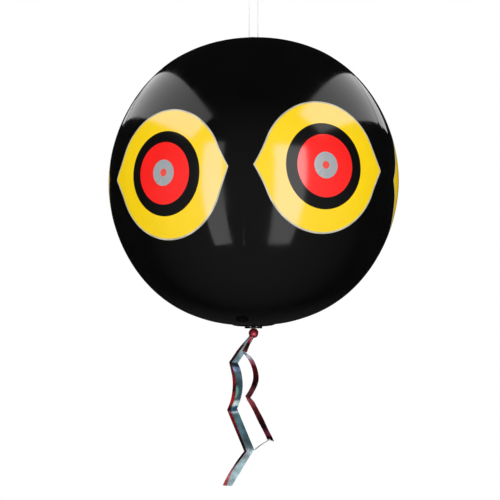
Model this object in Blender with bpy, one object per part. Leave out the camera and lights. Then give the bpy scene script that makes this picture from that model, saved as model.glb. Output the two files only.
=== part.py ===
# Bird scare balloon: an inflated vinyl ball with six printed eyes. It hangs in a cord loop from a strap
# welded on its crown, and a foil ribbon is tied to a like strap underneath.
# Metres, +Z up, the front towards -Y. The origin is where a hook bears inside the top of the cord loop.

import bmesh
import bpy
import math
from mathutils import Matrix, Vector

# Ball: how much its film is drawn in at the poles, and how full it is halfway to them, as shares of its radius
BALL_DIAMETER = 0.400
POLE_FLATNESS = 0.020
SHOULDER_FULLNESS = 0.0145
GORE_COUNT = 6
FILM_THICKNESS = 0.0004
SEAM_LAP = 0.005
SEAM_RAMP = 0.0012
FRONT_SEAM_AZIMUTH = -3.2
GORE_END_DIAMETER = 0.024
POLE_PATCH_DIAMETER = 0.060
CLEARANCE = 0.0003

# Eyes, cut from printed foil and stuck on, one to a gore
EYE_WIDTH = 0.181
EYE_HEIGHT = 0.160
EYE_THICKNESS = 0.0003
EYE_LIFT = 0.0007
EYE_BORDER = 0.0024
EYE_CORNER_SPREAD = 24.0
BLACK_RING_DIAMETER = 0.1014
RED_DISC_DIAMETER = 0.0738
SILVER_RING_DIAMETER = 0.0328
RED_DOT_DIAMETER = 0.0107

# Azimuth from the gore's middle, elevation and tilt of each hand-placed eye, in degrees
EYE_PLACES = (
    (-0.9, -1.0, 0.0),
    (-1.1, 1.2, 1.0),
    (0.2, 2.5, 0.0),
    (0.0, 0.4, -0.6),
    (0.3, -0.5, 0.5),
    (-0.4, 0.0, 0.0),
)

# Straps
STRAP_LENGTH = 0.0244
STRAP_WIDTH = 0.0030
STRAP_THICKNESS = 0.0016
STRAP_POST = 0.0018
STRAP_CORNER = 0.0005
STRAP_FOOT_LENGTH = 0.0030
STRAP_FOOT_THICKNESS = 0.0006

# Cord
CORD_DIAMETER = 0.002
CORD_SPACING = 0.012
CORD_LOOP_HEIGHT = 0.079
CORD_FREE_HEIGHT = 0.0004
CORD_LEG = 0.003
CORD_KNOT_HEIGHT = 0.009
CORD_KNOT_DIAMETER = 0.0064
CORD_END_LENGTH = 0.007

# Ribbon
RIBBON_WIDTH = 0.020
RIBBON_FLAP = 0.005
RIBBON_THICKNESS = 0.0003
RIBBON_BUNCH_WIDTH = 0.0065
RIBBON_BUNCH_THICKNESS = 0.0007
RIBBON_KNOT_DIAMETER = 0.0124
RIBBON_KNOT_DEPTH = 0.010

# Inflation valve
VALVE_AZIMUTH = -9.8
VALVE_ELEVATION = -64.2
VALVE_FLANGE_DIAMETER = 0.017
VALVE_FLANGE_THICKNESS = 0.0006
VALVE_NECK_DIAMETER = 0.0124
VALVE_NECK_WALL = 0.0008
VALVE_NECK_LENGTH = 0.012
VALVE_COLLAR_DIAMETER = 0.0145
VALVE_COLLAR_THICKNESS = 0.0006
VALVE_BORE = 0.0052
PLUG_CAP_DIAMETER = 0.0092
PLUG_CAP_THICKNESS = 0.0010
PLUG_PIN_LENGTH = 0.006
PLUG_LUG_LENGTH = 0.0026
TETHER_WIDTH = 0.0009
TETHER_THICKNESS = 0.0006
FLAP_THICKNESS = 0.0004

# Faces: rows and columns of a gore, and sides of the turned pieces
GORE_ROWS = 24
GORE_COLUMNS = 7
EYE_SIDES = 32
TURNED_SIDES = 24

BALL_RADIUS = BALL_DIAMETER / 2
GORE_PITCH = math.radians(360 / GORE_COUNT)
LAP_LIFT = FILM_THICKNESS + CLEARANCE
PATCH_LIFT = LAP_LIFT + CLEARANCE + FILM_THICKNESS
PATCH_TOP = BALL_RADIUS * (1 - POLE_FLATNESS) + PATCH_LIFT

# Heights, from the hook's point down
CORD_RADIUS = CORD_DIAMETER / 2
BEND_RADIUS = CORD_SPACING / 2
CORD_TOP_Z = CORD_RADIUS
CORD_BOTTOM_Z = CORD_TOP_Z - CORD_LOOP_HEIGHT
BEND_RISE = BEND_RADIUS - math.sqrt(BEND_RADIUS**2 - (STRAP_WIDTH / 2) ** 2)
TOP_OPENING = CORD_DIAMETER + BEND_RISE + 2 * CLEARANCE + CORD_FREE_HEIGHT
CROWN_Z = CORD_BOTTOM_Z + CORD_RADIUS + BEND_RISE + CLEARANCE - TOP_OPENING
BALL_CENTRE = Vector((0, 0, CROWN_Z - PATCH_TOP))
KNOT_BOTTOM_Z = CORD_TOP_Z - BEND_RADIUS - CORD_LEG - CORD_KNOT_HEIGHT

# The ribbon's bunch turns round the lower strap's corners
BUNCH_INNER = math.hypot(STRAP_WIDTH / 2, STRAP_THICKNESS / 2) + CLEARANCE
BUNCH_OUTER = BUNCH_INNER + RIBBON_BUNCH_THICKNESS
BOTTOM_OPENING = BUNCH_OUTER + CLEARANCE - STRAP_THICKNESS / 2
STRAP_AXIS = BALL_CENTRE - Vector((0, 0, PATCH_TOP + BOTTOM_OPENING + STRAP_THICKNESS / 2))
KNOT_RADIUS = RIBBON_KNOT_DIAMETER / 2
KNOT_CENTRE = STRAP_AXIS - Vector((0, 0, BUNCH_INNER + 0.3 * RIBBON_BUNCH_THICKNESS + KNOT_RADIUS))

# The ribbon's creases, in metres right of the knot's middle and above it, and how far each stretch bows out
LEFT_TAIL_CREASES = ((-0.0286, -0.0419), (-0.0303, -0.1054), (-0.0063, -0.1652), (-0.0369, -0.2131))
LEFT_TAIL_BOWS = (0.0, 0.007, 0.0, -0.0015)
RIGHT_TAIL_CREASES = ((-0.0130, -0.0245), (-0.0078, -0.0866), (0.0233, -0.1478), (0.0024, -0.1632))
RIGHT_TAIL_BOWS = (0.0, 0.0135, 0.0012, -0.0016)

# Bearings of a tail's face and of its folded edge seen from above, in degrees from +X
LEFT_TAIL_FOLD = (17.0, -25.0)
RIGHT_TAIL_FOLD = (-62.0, -26.0)
TAIL_OPENS_BY = 0.024
TAIL_BUNCHED_SHARE = 0.25

for existing in list(bpy.data.objects):
    bpy.data.objects.remove(existing, do_unlink=True)


def linear(hex_colour):
    channels = [int(hex_colour[i : i + 2], 16) / 255 for i in (1, 3, 5)]
    return [c / 12.92 if c <= 0.04045 else ((c + 0.055) / 1.055) ** 2.4 for c in channels] + [1.0]


def material(name, hex_colour, roughness, metallic=0.0):
    made = bpy.data.materials.new(name)
    made.use_nodes = True
    made.diffuse_color = linear(hex_colour)
    shader = made.node_tree.nodes["Principled BSDF"]
    shader.inputs["Base Color"].default_value = linear(hex_colour)
    shader.inputs["Roughness"].default_value = roughness
    shader.inputs["Metallic"].default_value = metallic
    return made


def add_mesh(name, points, faces, materials, face_slots=None, pivot=Vector()):
    """A closed body from points in the part's own frame, with its origin at pivot."""
    mesh = bpy.data.meshes.new(name)
    mesh.from_pydata([Vector(p) - pivot for p in points], [], faces)
    for slot in materials:
        mesh.materials.append(slot)
    if face_slots:
        mesh.polygons.foreach_set("material_index", face_slots)
    mesh.shade_smooth()
    mesh.set_sharp_from_angle(angle=math.radians(35))
    mesh.update()
    made = bpy.data.objects.new(name, mesh)
    made.location = pivot
    bpy.context.collection.objects.link(made)
    return made


def add_boolean(target, tool, operation):
    """Cuts or joins tool into target, and hides tool."""
    modifier = target.modifiers.new(operation.title(), "BOOLEAN")
    modifier.operation = operation
    modifier.solver = "EXACT"
    modifier.object = tool
    tool.hide_render = True
    tool.display_type = "WIRE"


def hang_on(axis_name, place, *pieces):
    """Parents pieces to an empty on their joint's axis."""
    axis = bpy.data.objects.new(axis_name, None)
    axis.location = place
    axis.empty_display_size = 0.01
    bpy.context.collection.objects.link(axis)
    bpy.context.view_layer.update()
    for piece in pieces:
        world = piece.matrix_world.copy()
        piece.parent = axis
        piece.matrix_parent_inverse = axis.matrix_world.inverted()
        piece.matrix_world = world


def direction(azimuth, elevation):
    """Unit vector from the ball's centre; azimuth runs from the front, -Y, towards +X."""
    level = math.cos(elevation)
    return Vector((math.sin(azimuth) * level, -math.cos(azimuth) * level, math.sin(elevation)))


def on_ball(way, lift):
    """The point a lift above the ball's film in a direction from its centre."""
    sine = way.z * way.z
    reach = BALL_RADIUS * (1 + SHOULDER_FULLNESS * 4 * sine * (1 - sine) - POLE_FLATNESS * sine)
    return BALL_CENTRE + way * (reach + lift)


def grid_shell(name, outer, inner, materials, **extra):
    """A thin closed shell between two equal grids of points, rows down and columns to the right."""
    rows, columns = len(outer), len(outer[0])
    points = [p for grid in (outer, inner) for row in grid for p in row]
    back = rows * columns
    faces = []
    for i in range(rows - 1):
        for j in range(columns - 1):
            a, b = i * columns + j, (i + 1) * columns + j
            faces += [(a, b, b + 1), (a, b + 1, a + 1)]
            faces += [(back + a, back + b + 1, back + b), (back + a, back + a + 1, back + b + 1)]
    rim = [i * columns for i in range(rows)]
    rim += [(rows - 1) * columns + j for j in range(1, columns)]
    rim += [i * columns + columns - 1 for i in range(rows - 2, -1, -1)]
    rim += list(range(columns - 2, 0, -1))
    for a, b in zip(rim, rim[1:] + rim[:1]):
        faces += [(b, a, back + a), (b, back + a, back + b)]
    return add_mesh(name, points, faces, materials, **extra)


def round_shell(name, centre, up_tilt, rings, lift, thickness, materials, ring_slots, sides):
    """A thin domed disc on the ball. Each ring gives the arc from its middle at a bearing in radians."""
    east = Vector((0, 0, 1)).cross(centre)
    east = east.normalized() if east.length > 1e-6 else Vector((1, 0, 0))
    north = centre.cross(east)
    bearings = disc_bearings(sides)
    points, faces, slots = [], [], []
    for height in (lift, lift - thickness):
        points.append(on_ball(centre, height))
        for ring in rings:
            for bearing in bearings:
                arc = ring(bearing) / BALL_RADIUS
                turned = bearing + up_tilt
                side = east * math.cos(turned) + north * math.sin(turned)
                points.append(on_ball(centre * math.cos(arc) + side * math.sin(arc), height))
    back = 1 + len(rings) * sides
    for k in range(sides):
        n = (k + 1) % sides
        faces += [(0, 1 + k, 1 + n), (back, back + 1 + n, back + 1 + k)]
        slots += [ring_slots[0]] * 2
        for r in range(1, len(rings)):
            a, b = 1 + (r - 1) * sides, 1 + r * sides
            faces += [(a + k, b + k, b + n), (a + k, b + n, a + n)]
            faces += [(back + a + k, back + b + n, back + b + k), (back + a + k, back + a + n, back + b + n)]
            slots += [ring_slots[r]] * 4
        edge = 1 + (len(rings) - 1) * sides
        faces += [(edge + k, back + edge + k, back + edge + n), (edge + k, back + edge + n, edge + n)]
        slots += [ring_slots[-1]] * 2
    return add_mesh(name, points, faces, materials, face_slots=slots)


def disc_bearings(sides):
    """Bearings round a disc, closer together towards its left and right corners."""
    quarter = sides // 4
    bearings = []
    for quadrant in range(4):
        for step in range(quarter):
            share = step / quarter if quadrant % 2 == 0 else 1 - step / quarter
            angle = share**1.35 * math.pi / 2
            turn = quadrant * math.pi / 2
            bearings.append(turn + (angle if quadrant % 2 == 0 else math.pi / 2 - angle))
    return bearings


def gore_columns(level_radius):
    """Azimuth from the left seam and lift of each column, where the gore's circle has this radius."""
    start, ramp = CLEARANCE / level_radius, GORE_PITCH - SEAM_RAMP / level_radius
    body = [(start + (ramp - start) * j / GORE_COLUMNS, 0.0) for j in range(GORE_COLUMNS + 1)]
    return body + [(GORE_PITCH, LAP_LIFT), (GORE_PITCH + SEAM_LAP / level_radius, LAP_LIFT)]


def add_gore(index, vinyl):
    """A film gore from pole to pole; its right edge steps up and laps the next gore's left edge."""
    left = math.radians(FRONT_SEAM_AZIMUTH) + (index - 1) * GORE_PITCH
    end = math.asin(GORE_END_DIAMETER / BALL_DIAMETER)
    outer, inner = [], []
    for i in range(GORE_ROWS + 1):
        polar = end + (math.pi - 2 * end) * i / GORE_ROWS
        spots = [
            (direction(left + turn, math.pi / 2 - polar), lift)
            for turn, lift in gore_columns(BALL_RADIUS * math.sin(polar))
        ]
        outer.append([on_ball(way, lift) for way, lift in spots])
        inner.append([on_ball(way, lift - FILM_THICKNESS) for way, lift in spots])
    return grid_shell(f"gore_{index + 1}", outer, inner, [vinyl])


def eye_outline(bearing):
    """Arc from an eye's middle to its edge: a round body drawn out into a left and a right corner."""
    from_corner = abs((bearing + math.pi / 2) % math.pi - math.pi / 2)
    flare = max(0.0, 1 - from_corner / math.radians(EYE_CORNER_SPREAD))
    return EYE_HEIGHT / 2 + (EYE_WIDTH - EYE_HEIGHT) / 2 * flare**2


def circle(diameter):
    return lambda bearing: diameter / 2


def add_eye(index, silver, yellow, black, red):
    """A thin foil print in the shape of an open eye, on the middle of its gore."""
    aside, elevation, tilt = (math.radians(a) for a in EYE_PLACES[index])
    azimuth = math.radians(FRONT_SEAM_AZIMUTH) + (index - 0.5) * GORE_PITCH + aside
    rings = [
        circle(RED_DOT_DIAMETER),
        circle(SILVER_RING_DIAMETER),
        circle((SILVER_RING_DIAMETER + RED_DISC_DIAMETER) / 2),
        circle(RED_DISC_DIAMETER),
        circle(BLACK_RING_DIAMETER),
        lambda bearing: (BLACK_RING_DIAMETER / 2 + eye_outline(bearing)) / 2,
        lambda bearing: eye_outline(bearing) - EYE_BORDER,
        eye_outline,
    ]
    slots = (3, 0, 3, 3, 2, 1, 1, 0)
    return round_shell(
        f"eye_{index + 1}",
        direction(azimuth, elevation),
        tilt,
        rings,
        EYE_LIFT + EYE_THICKNESS,
        EYE_THICKNESS,
        [silver, yellow, black, red],
        slots,
        EYE_SIDES,
    )


def add_pole_patch(name, side, vinyl):
    """A round film patch, welded over the gores' ends; side is 1 on the crown and -1 underneath."""
    rings = [circle(POLE_PATCH_DIAMETER / 3), circle(POLE_PATCH_DIAMETER * 2 / 3), circle(POLE_PATCH_DIAMETER)]
    return round_shell(
        name, Vector((0, 0, side)), 0.0, rings, PATCH_LIFT, FILM_THICKNESS, [vinyl], (0, 0, 0), EYE_SIDES
    )


def add_strap(name, side, opening, along_y, vinyl):
    """A small moulded strap that bridges a pole patch, with a foot at each end that follows the patch."""
    half = STRAP_LENGTH / 2
    toe, post, top = half + STRAP_FOOT_LENGTH, half - STRAP_POST, opening + STRAP_THICKNESS
    foot, corner = STRAP_FOOT_THICKNESS, STRAP_CORNER
    right = [(post, 0), (toe, 0), (toe, foot), (half, foot), (half, top - corner), (half - corner, top)]
    inside = [(-post, opening), (post, opening)]
    outline = right + [(-x, z) for x, z in reversed(right)] + inside
    points = []
    for across in (-STRAP_WIDTH / 2, STRAP_WIDTH / 2):
        for along, height in outline:
            rise = PATCH_TOP + height
            if height <= foot:
                under = on_ball(direction(math.pi / 2, math.acos(along / PATCH_TOP)), PATCH_LIFT)
                rise = (under - BALL_CENTRE).z + height + CLEARANCE
            spot = (across, along) if along_y else (along, -across)
            points.append(BALL_CENTRE + Vector((spot[0], spot[1] * side, side * rise)))
    count = len(outline)
    faces = [tuple(range(count)), tuple(range(2 * count - 1, count - 1, -1))]
    faces += [(k, k + count, (k + 1) % count + count, (k + 1) % count) for k in range(count)]
    made = add_mesh(name, points, faces, [vinyl])
    fix_normals(made)
    return made


def fix_normals(piece):
    """Turns a closed body's faces outwards."""
    body = bmesh.new()
    body.from_mesh(piece.data)
    bmesh.ops.recalc_face_normals(body, faces=body.faces)
    body.to_mesh(piece.data)
    body.free()


def add_tube(name, route, diameter, cord, pivot=Vector()):
    """A round cord along a route of points, with flat ends."""
    curve = bpy.data.curves.new(name, "CURVE")
    curve.dimensions = "3D"
    curve.bevel_depth = diameter / 2
    curve.bevel_resolution = 2
    curve.use_fill_caps = True
    spline = curve.splines.new("POLY")
    spline.points.add(len(route) - 1)
    for point, place in zip(spline.points, route):
        point.co = (*(place - pivot), 1)
    curve.materials.append(cord)
    made = bpy.data.objects.new(name, curve)
    made.location = pivot
    bpy.context.collection.objects.link(made)
    return made


def strand(start, end, step):
    """Evenly spaced points from start to end, about step apart."""
    count = max(1, round((end - start).length / step))
    return [start.lerp(end, i / count) for i in range(count + 1)]


def cord_bend(middle_z, side):
    """The half circle of the cord's loop at its top, side 1, or under the strap, side -1."""
    turns = [math.pi * k / 6 for k in range(7)]
    return [
        Vector((-math.cos(t) * BEND_RADIUS, 0, middle_z + side * math.sin(t) * BEND_RADIUS)) for t in turns
    ]


def add_cord(cord):
    """The cord loop: two strands under the strap, the bend over the hook, and the knot that closes it."""
    side, step = CORD_SPACING / 2, 2.5 * CORD_DIAMETER
    leg_z = CORD_TOP_Z - BEND_RADIUS - CORD_LEG
    low_z = CORD_BOTTOM_Z + BEND_RADIUS
    strand_top = KNOT_BOTTOM_Z - CLEARANCE
    lower = strand(Vector((-side, 0, strand_top)), Vector((-side, 0, low_z)), step)[:-1]
    lower += cord_bend(low_z, -1)
    lower += strand(Vector((side, 0, low_z)), Vector((side, 0, strand_top)), step)[1:]
    high_z = CORD_TOP_Z - BEND_RADIUS
    upper = strand(Vector((-side, 0, KNOT_BOTTOM_Z)), Vector((-side, 0, high_z)), step)[:-1]
    upper += cord_bend(high_z, 1)
    upper += [Vector((side, 0, leg_z + CLEARANCE))]
    strands = add_tube("hang_cord", lower, CORD_DIAMETER, cord)
    bend = add_tube("cord_top_bend", upper, CORD_DIAMETER, cord)
    knot = add_cord_knot(Vector((side, 0, leg_z - CORD_KNOT_HEIGHT / 2)), cord)
    return strands, bend, knot


def spheroid(name, centre, radii, rings, sides, surface):
    """A closed turned body with its poles along Z."""
    points = [centre + Vector((0, 0, radii.z))]
    for i in range(1, rings):
        polar = math.pi * i / rings
        for k in range(sides):
            turn = 2 * math.pi * k / sides
            across = Vector((math.cos(turn) * radii.x, math.sin(turn) * radii.y, 0)) * math.sin(polar)
            points.append(centre + across + Vector((0, 0, radii.z * math.cos(polar))))
    points.append(centre - Vector((0, 0, radii.z)))
    last = len(points) - 1
    faces = []
    for k in range(sides):
        n = (k + 1) % sides
        faces += [(0, 1 + k, 1 + n), (last, last - sides + n, last - sides + k)]
        for i in range(rings - 2):
            a, b = 1 + i * sides, 1 + (i + 1) * sides
            faces.append((a + k, b + k, b + n, a + n))
    return add_mesh(name, points, faces, [surface])


def add_cord_knot(middle, cord):
    """The overhand knot that joins the cord's two ends, which stick out of its side."""
    radius = CORD_KNOT_DIAMETER / 2
    knot = spheroid("cord_knot", middle, Vector((radius, radius, CORD_KNOT_HEIGHT / 2)), 8, 12, cord)
    reach = radius + CORD_END_LENGTH
    profile = [(0, 0), (CORD_DIAMETER / 2, 0), (CORD_DIAMETER / 2, reach), (0, reach)]
    for name, lean in (("cord_end_up", 0.6), ("cord_end_down", -0.5)):
        away = Vector((math.cos(lean), -0.25 * lean, math.sin(lean)))
        frame = Matrix.Translation(middle) @ away.to_track_quat("Z", "Y").to_matrix().to_4x4()
        add_boolean(knot, solid_turned(name, profile, frame, cord, 10), "UNION")
    return knot


def turned(name, profile, frame, surface, sides=TURNED_SIDES):
    """A body of revolution about the frame's Z from a closed profile of radius and height, clear of the axis."""
    points, faces = [], []
    count = len(profile)
    for k in range(sides):
        turn = 2 * math.pi * k / sides
        for radius, height in profile:
            points.append(frame @ Vector((radius * math.cos(turn), radius * math.sin(turn), height)))
        for p in range(count):
            q, n = (p + 1) % count, (k + 1) % sides
            faces.append((k * count + p, k * count + q, n * count + q, n * count + p))
    made = add_mesh(name, points, faces, [surface])
    fix_normals(made)
    return made


def solid_turned(name, profile, frame, surface, sides=TURNED_SIDES):
    """A body of revolution whose profile starts and ends on the axis."""
    first, last = profile[0], profile[-1]
    middle = profile[1:-1]
    points = [frame @ Vector((0, 0, first[1])), frame @ Vector((0, 0, last[1]))]
    faces = []
    count = len(middle)
    for k in range(sides):
        turn = 2 * math.pi * k / sides
        n = (k + 1) % sides
        for radius, height in middle:
            points.append(frame @ Vector((radius * math.cos(turn), radius * math.sin(turn), height)))
        here, there = 2 + k * count, 2 + n * count
        faces += [(0, here, there), (1, there + count - 1, here + count - 1)]
        faces += [(here + p, here + p + 1, there + p + 1, there + p) for p in range(count - 1)]
    made = add_mesh(name, points, faces, [surface])
    fix_normals(made)
    return made


def valve_frame():
    """The valve's own frame: its origin on the ball's surface, Z outwards."""
    azimuth, elevation, step = math.radians(VALVE_AZIMUTH), math.radians(VALVE_ELEVATION), 0.001
    foot = on_ball(direction(azimuth, elevation), 0.0)
    aside = on_ball(direction(azimuth + step, elevation), 0.0) - foot
    above = on_ball(direction(azimuth, elevation + step), 0.0) - foot
    out = aside.cross(above).normalized()
    east = Vector((0, 0, 1)).cross(out).normalized()
    turn = Matrix((east, out.cross(east), out)).transposed().to_4x4()
    return Matrix.Translation(foot) @ turn


def add_valve(gore, clear_vinyl, plug_vinyl):
    """The flanged neck, the stem that slides in it, the plug with its tether, and the stem's non-return flap."""
    frame = valve_frame()
    neck_outer = VALVE_NECK_DIAMETER / 2
    neck_inner = neck_outer - VALVE_NECK_WALL
    flange_top = CLEARANCE + VALVE_FLANGE_THICKNESS
    neck_end = CLEARANCE - VALVE_NECK_LENGTH
    flange = turned(
        "valve_flange",
        [
            (neck_inner, flange_top),
            (VALVE_FLANGE_DIAMETER / 2, flange_top),
            (VALVE_FLANGE_DIAMETER / 2, CLEARANCE),
            (neck_outer, CLEARANCE),
            (neck_outer, neck_end),
            (neck_inner, neck_end),
        ],
        frame,
        clear_vinyl,
    )
    hole = solid_turned(
        "valve_hole",
        [(0, 0.003), (neck_outer + CLEARANCE, 0.003), (neck_outer + CLEARANCE, -0.004), (0, -0.004)],
        frame,
        clear_vinyl,
    )
    add_boolean(gore, hole, "DIFFERENCE")

    stem_outer = neck_inner - CLEARANCE
    bore = VALVE_BORE / 2
    collar_low = flange_top + CLEARANCE
    collar_top = collar_low + VALVE_COLLAR_THICKNESS
    stem_end = neck_end - CLEARANCE
    stem = turned(
        "valve_stem",
        [
            (bore, collar_top),
            (VALVE_COLLAR_DIAMETER / 2, collar_top),
            (VALVE_COLLAR_DIAMETER / 2, collar_low),
            (stem_outer, collar_low),
            (stem_outer, stem_end),
            (bore, stem_end),
        ],
        frame,
        clear_vinyl,
    )

    cap_low = collar_top + CLEARANCE
    cap_top = cap_low + PLUG_CAP_THICKNESS
    cap_radius = PLUG_CAP_DIAMETER / 2
    pin_radius = bore - CLEARANCE
    plug = solid_turned(
        "valve_plug",
        [
            (0, cap_top),
            (cap_radius, cap_top),
            (cap_radius, cap_low),
            (pin_radius, cap_low),
            (pin_radius * 0.9, cap_low - PLUG_PIN_LENGTH),
            (0, cap_low - PLUG_PIN_LENGTH),
        ],
        frame,
        plug_vinyl,
    )
    lug = add_block(
        "plug_lug", (0.8 * cap_radius, cap_radius + PLUG_LUG_LENGTH), 0.0028, (cap_low, cap_top), frame, plug_vinyl
    )
    add_boolean(plug, lug, "UNION")
    tether = add_tether(cap_radius + CLEARANCE, cap_low, frame, plug_vinyl)

    flap_top = stem_end - CLEARANCE
    flap_radius = stem_outer - CLEARANCE
    flap = solid_turned(
        "valve_flap",
        [
            (0, flap_top),
            (flap_radius, flap_top),
            (flap_radius, flap_top - FLAP_THICKNESS),
            (0, flap_top - FLAP_THICKNESS),
        ],
        frame,
        plug_vinyl,
    )
    hinge = frame @ Vector((0, flap_radius, flap_top))
    hang_on("valve_axis", frame.translation, stem, plug, tether)
    hang_on("flap_axis", hinge, flap)
    return frame, hinge


def add_block(name, along, width, heights, frame, surface):
    """A rectangular block in a frame, along its X."""
    corners = [(x, y, z) for z in heights for x, y in ((along[0], -width / 2), (along[1], -width / 2),
                                                       (along[1], width / 2), (along[0], width / 2))]
    faces = [(3, 2, 1, 0), (4, 5, 6, 7), (0, 1, 5, 4), (1, 2, 6, 5), (2, 3, 7, 6), (3, 0, 4, 7)]
    return add_mesh(name, [frame @ Vector(c) for c in corners], faces, [surface])


def add_tether(inner_radius, low, frame, surface):
    """The plug's tether: a flat band that lies on the collar, most of the way round the cap."""
    steps, first, last = 14, math.radians(50), math.radians(310)
    points, faces = [], []
    for k in range(steps + 1):
        turn = first + (last - first) * k / steps
        for radius, height in (
            (inner_radius, low),
            (inner_radius + TETHER_WIDTH, low),
            (inner_radius + TETHER_WIDTH, low + TETHER_THICKNESS),
            (inner_radius, low + TETHER_THICKNESS),
        ):
            points.append(frame @ Vector((radius * math.cos(turn), radius * math.sin(turn), height)))
        if k:
            a, b = 4 * (k - 1), 4 * k
            faces += [(a + p, a + (p + 1) % 4, b + (p + 1) % 4, b + p) for p in range(4)]
    faces += [(3, 2, 1, 0), tuple(4 * steps + p for p in range(4))]
    made = add_mesh("plug_tether", points, faces, [surface])
    fix_normals(made)
    return made


def add_ribbon_knot(foil):
    """The ribbon's knot, with the bunched turn of ribbon by which it hangs on the strap."""
    sides = 20
    points, faces = [], []
    half = RIBBON_BUNCH_WIDTH / 2
    section = ((-half, BUNCH_INNER), (half, BUNCH_INNER), (half, BUNCH_OUTER), (-half, BUNCH_OUTER))
    for k in range(sides):
        turn = 2 * math.pi * k / sides
        for across, radius in section:
            points.append(STRAP_AXIS + Vector((across, radius * math.sin(turn), -radius * math.cos(turn))))
        n = (k + 1) % sides
        faces += [(4 * k + p, 4 * k + (p + 1) % 4, 4 * n + (p + 1) % 4, 4 * n + p) for p in range(4)]
    knot = add_mesh("ribbon_knot", points, faces, [foil])
    fix_normals(knot)
    radii = Vector((KNOT_RADIUS, RIBBON_KNOT_DEPTH / 2, KNOT_RADIUS))
    add_boolean(knot, spheroid("ribbon_knot_body", KNOT_CENTRE, radii, 8, 14, foil), "UNION")
    return knot


def tail_spine(creases, bows):
    """Points down a ribbon tail from the knot's edge, with each stretch between creases bowed sideways."""
    start = Vector(creases[0]).normalized() * (KNOT_RADIUS + CLEARANCE)
    stops = [start] + [Vector(crease) for crease in creases]
    spine = [start]
    for a, b, bow in zip(stops, stops[1:], bows):
        for share in (0.25, 0.5, 0.75, 1.0):
            spine.append(a.lerp(b, share) + Vector((bow * 4 * share * (1 - share), 0)))
    return spine


def tail_section(fold_angles, opened, side):
    """The folded strip's outside and inside from above: the face's edge, the fold and the flap's edge."""
    face, flap = (Vector((math.cos(a), math.sin(a))) for a in map(math.radians, fold_angles))
    half = RIBBON_THICKNESS / 2
    reach = ((RIBBON_WIDTH - RIBBON_FLAP) * opened, RIBBON_FLAP * opened)
    turn = 1 if face.cross(flap) > 0 else -1
    out_face, out_flap = Vector((face.y, -face.x)) * turn, Vector((-flap.y, flap.x)) * turn
    middle = (face + flap).normalized()
    miter = middle * half / abs(middle.cross(face))
    inward = max(0.0, -side * face.y * reach[0], -side * flap.y * reach[1])
    start = Vector((-face.x * reach[0] / 2, side * (inward + 2 * CLEARANCE + miter.length)))
    outside = [start + face * reach[0] + out_face * half, start - miter, start + flap * reach[1] + out_flap * half]
    inside = [start + face * reach[0] - out_face * half, start + miter, start + flap * reach[1] - out_flap * half]
    return outside, inside


def add_tail(name, creases, bows, fold_angles, side, foil):
    """A creased foil strip with one edge folded over; side is -1 in front of the knot and 1 behind it."""
    spine = tail_spine(creases, bows)
    square = Vector((-spine[0].y, spine[0].x)).normalized()
    grids = ([], [])
    for point in spine:
        opened = min(1.0, (point - spine[0]).length / TAIL_OPENS_BY)
        level = square.lerp(Vector((1, 0)), opened).normalized()
        sections = tail_section(fold_angles, TAIL_BUNCHED_SHARE + (1 - TAIL_BUNCHED_SHARE) * opened, side)
        for grid, section in zip(grids, sections):
            spots = [point + level * p.x for p in section]
            grid.append([KNOT_CENTRE + Vector((q.x, p.y, q.y)) for p, q in zip(section, spots)])
    tail = grid_shell(name, grids[0], grids[1], [foil])
    fix_normals(tail)
    return tail


def build():
    vinyl = material("black_vinyl", "#141414", 0.12)
    silver = material("silver_foil", "#c9cdcd", 0.25, 0.9)
    yellow = material("yellow_print", "#fcd716", 0.18)
    black = material("black_print", "#111111", 0.18)
    red = material("red_print", "#ff2c28", 0.18)
    cord = material("white_cord", "#e6e4de", 0.6)
    foil = material("red_foil", "#c01020", 0.2, 0.8)
    clear_vinyl = material("valve_vinyl", "#1c1c1c", 0.3)
    plug_vinyl = material("plug_vinyl", "#242424", 0.35)

    gores = [add_gore(index, vinyl) for index in range(GORE_COUNT)]
    eyes = [add_eye(index, silver, yellow, black, red) for index in range(GORE_COUNT)]
    patches = [add_pole_patch("top_patch", 1, vinyl), add_pole_patch("bottom_patch", -1, vinyl)]
    straps = [
        add_strap("top_strap", 1, TOP_OPENING, True, vinyl),
        add_strap("bottom_strap", -1, BOTTOM_OPENING, False, vinyl),
    ]
    add_valve(gores[0], clear_vinyl, plug_vinyl)
    strands, bend, knot = add_cord(cord)
    ribbon_knot = add_ribbon_knot(foil)
    hang_on("cord_axis", Vector((0, 0, KNOT_BOTTOM_Z)), strands)
    hang_on("hook_point", Vector((0, 0, 0)), bend, knot)
    swing = Vector((0, 0, CORD_BOTTOM_Z))
    hang_on("ball_axis", swing, *gores, *eyes, *patches, *straps)
    hang_on("ribbon_axis", STRAP_AXIS, ribbon_knot)
    left = add_tail("ribbon_tail_left", LEFT_TAIL_CREASES, LEFT_TAIL_BOWS, LEFT_TAIL_FOLD, 1, foil)
    right = add_tail("ribbon_tail_right", RIGHT_TAIL_CREASES, RIGHT_TAIL_BOWS, RIGHT_TAIL_FOLD, -1, foil)
    hang_on("left_tail_axis", KNOT_CENTRE, left)
    hang_on("right_tail_axis", KNOT_CENTRE, right)


build()
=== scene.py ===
import math

import bpy
from mathutils import Matrix, Vector, noise


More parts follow.
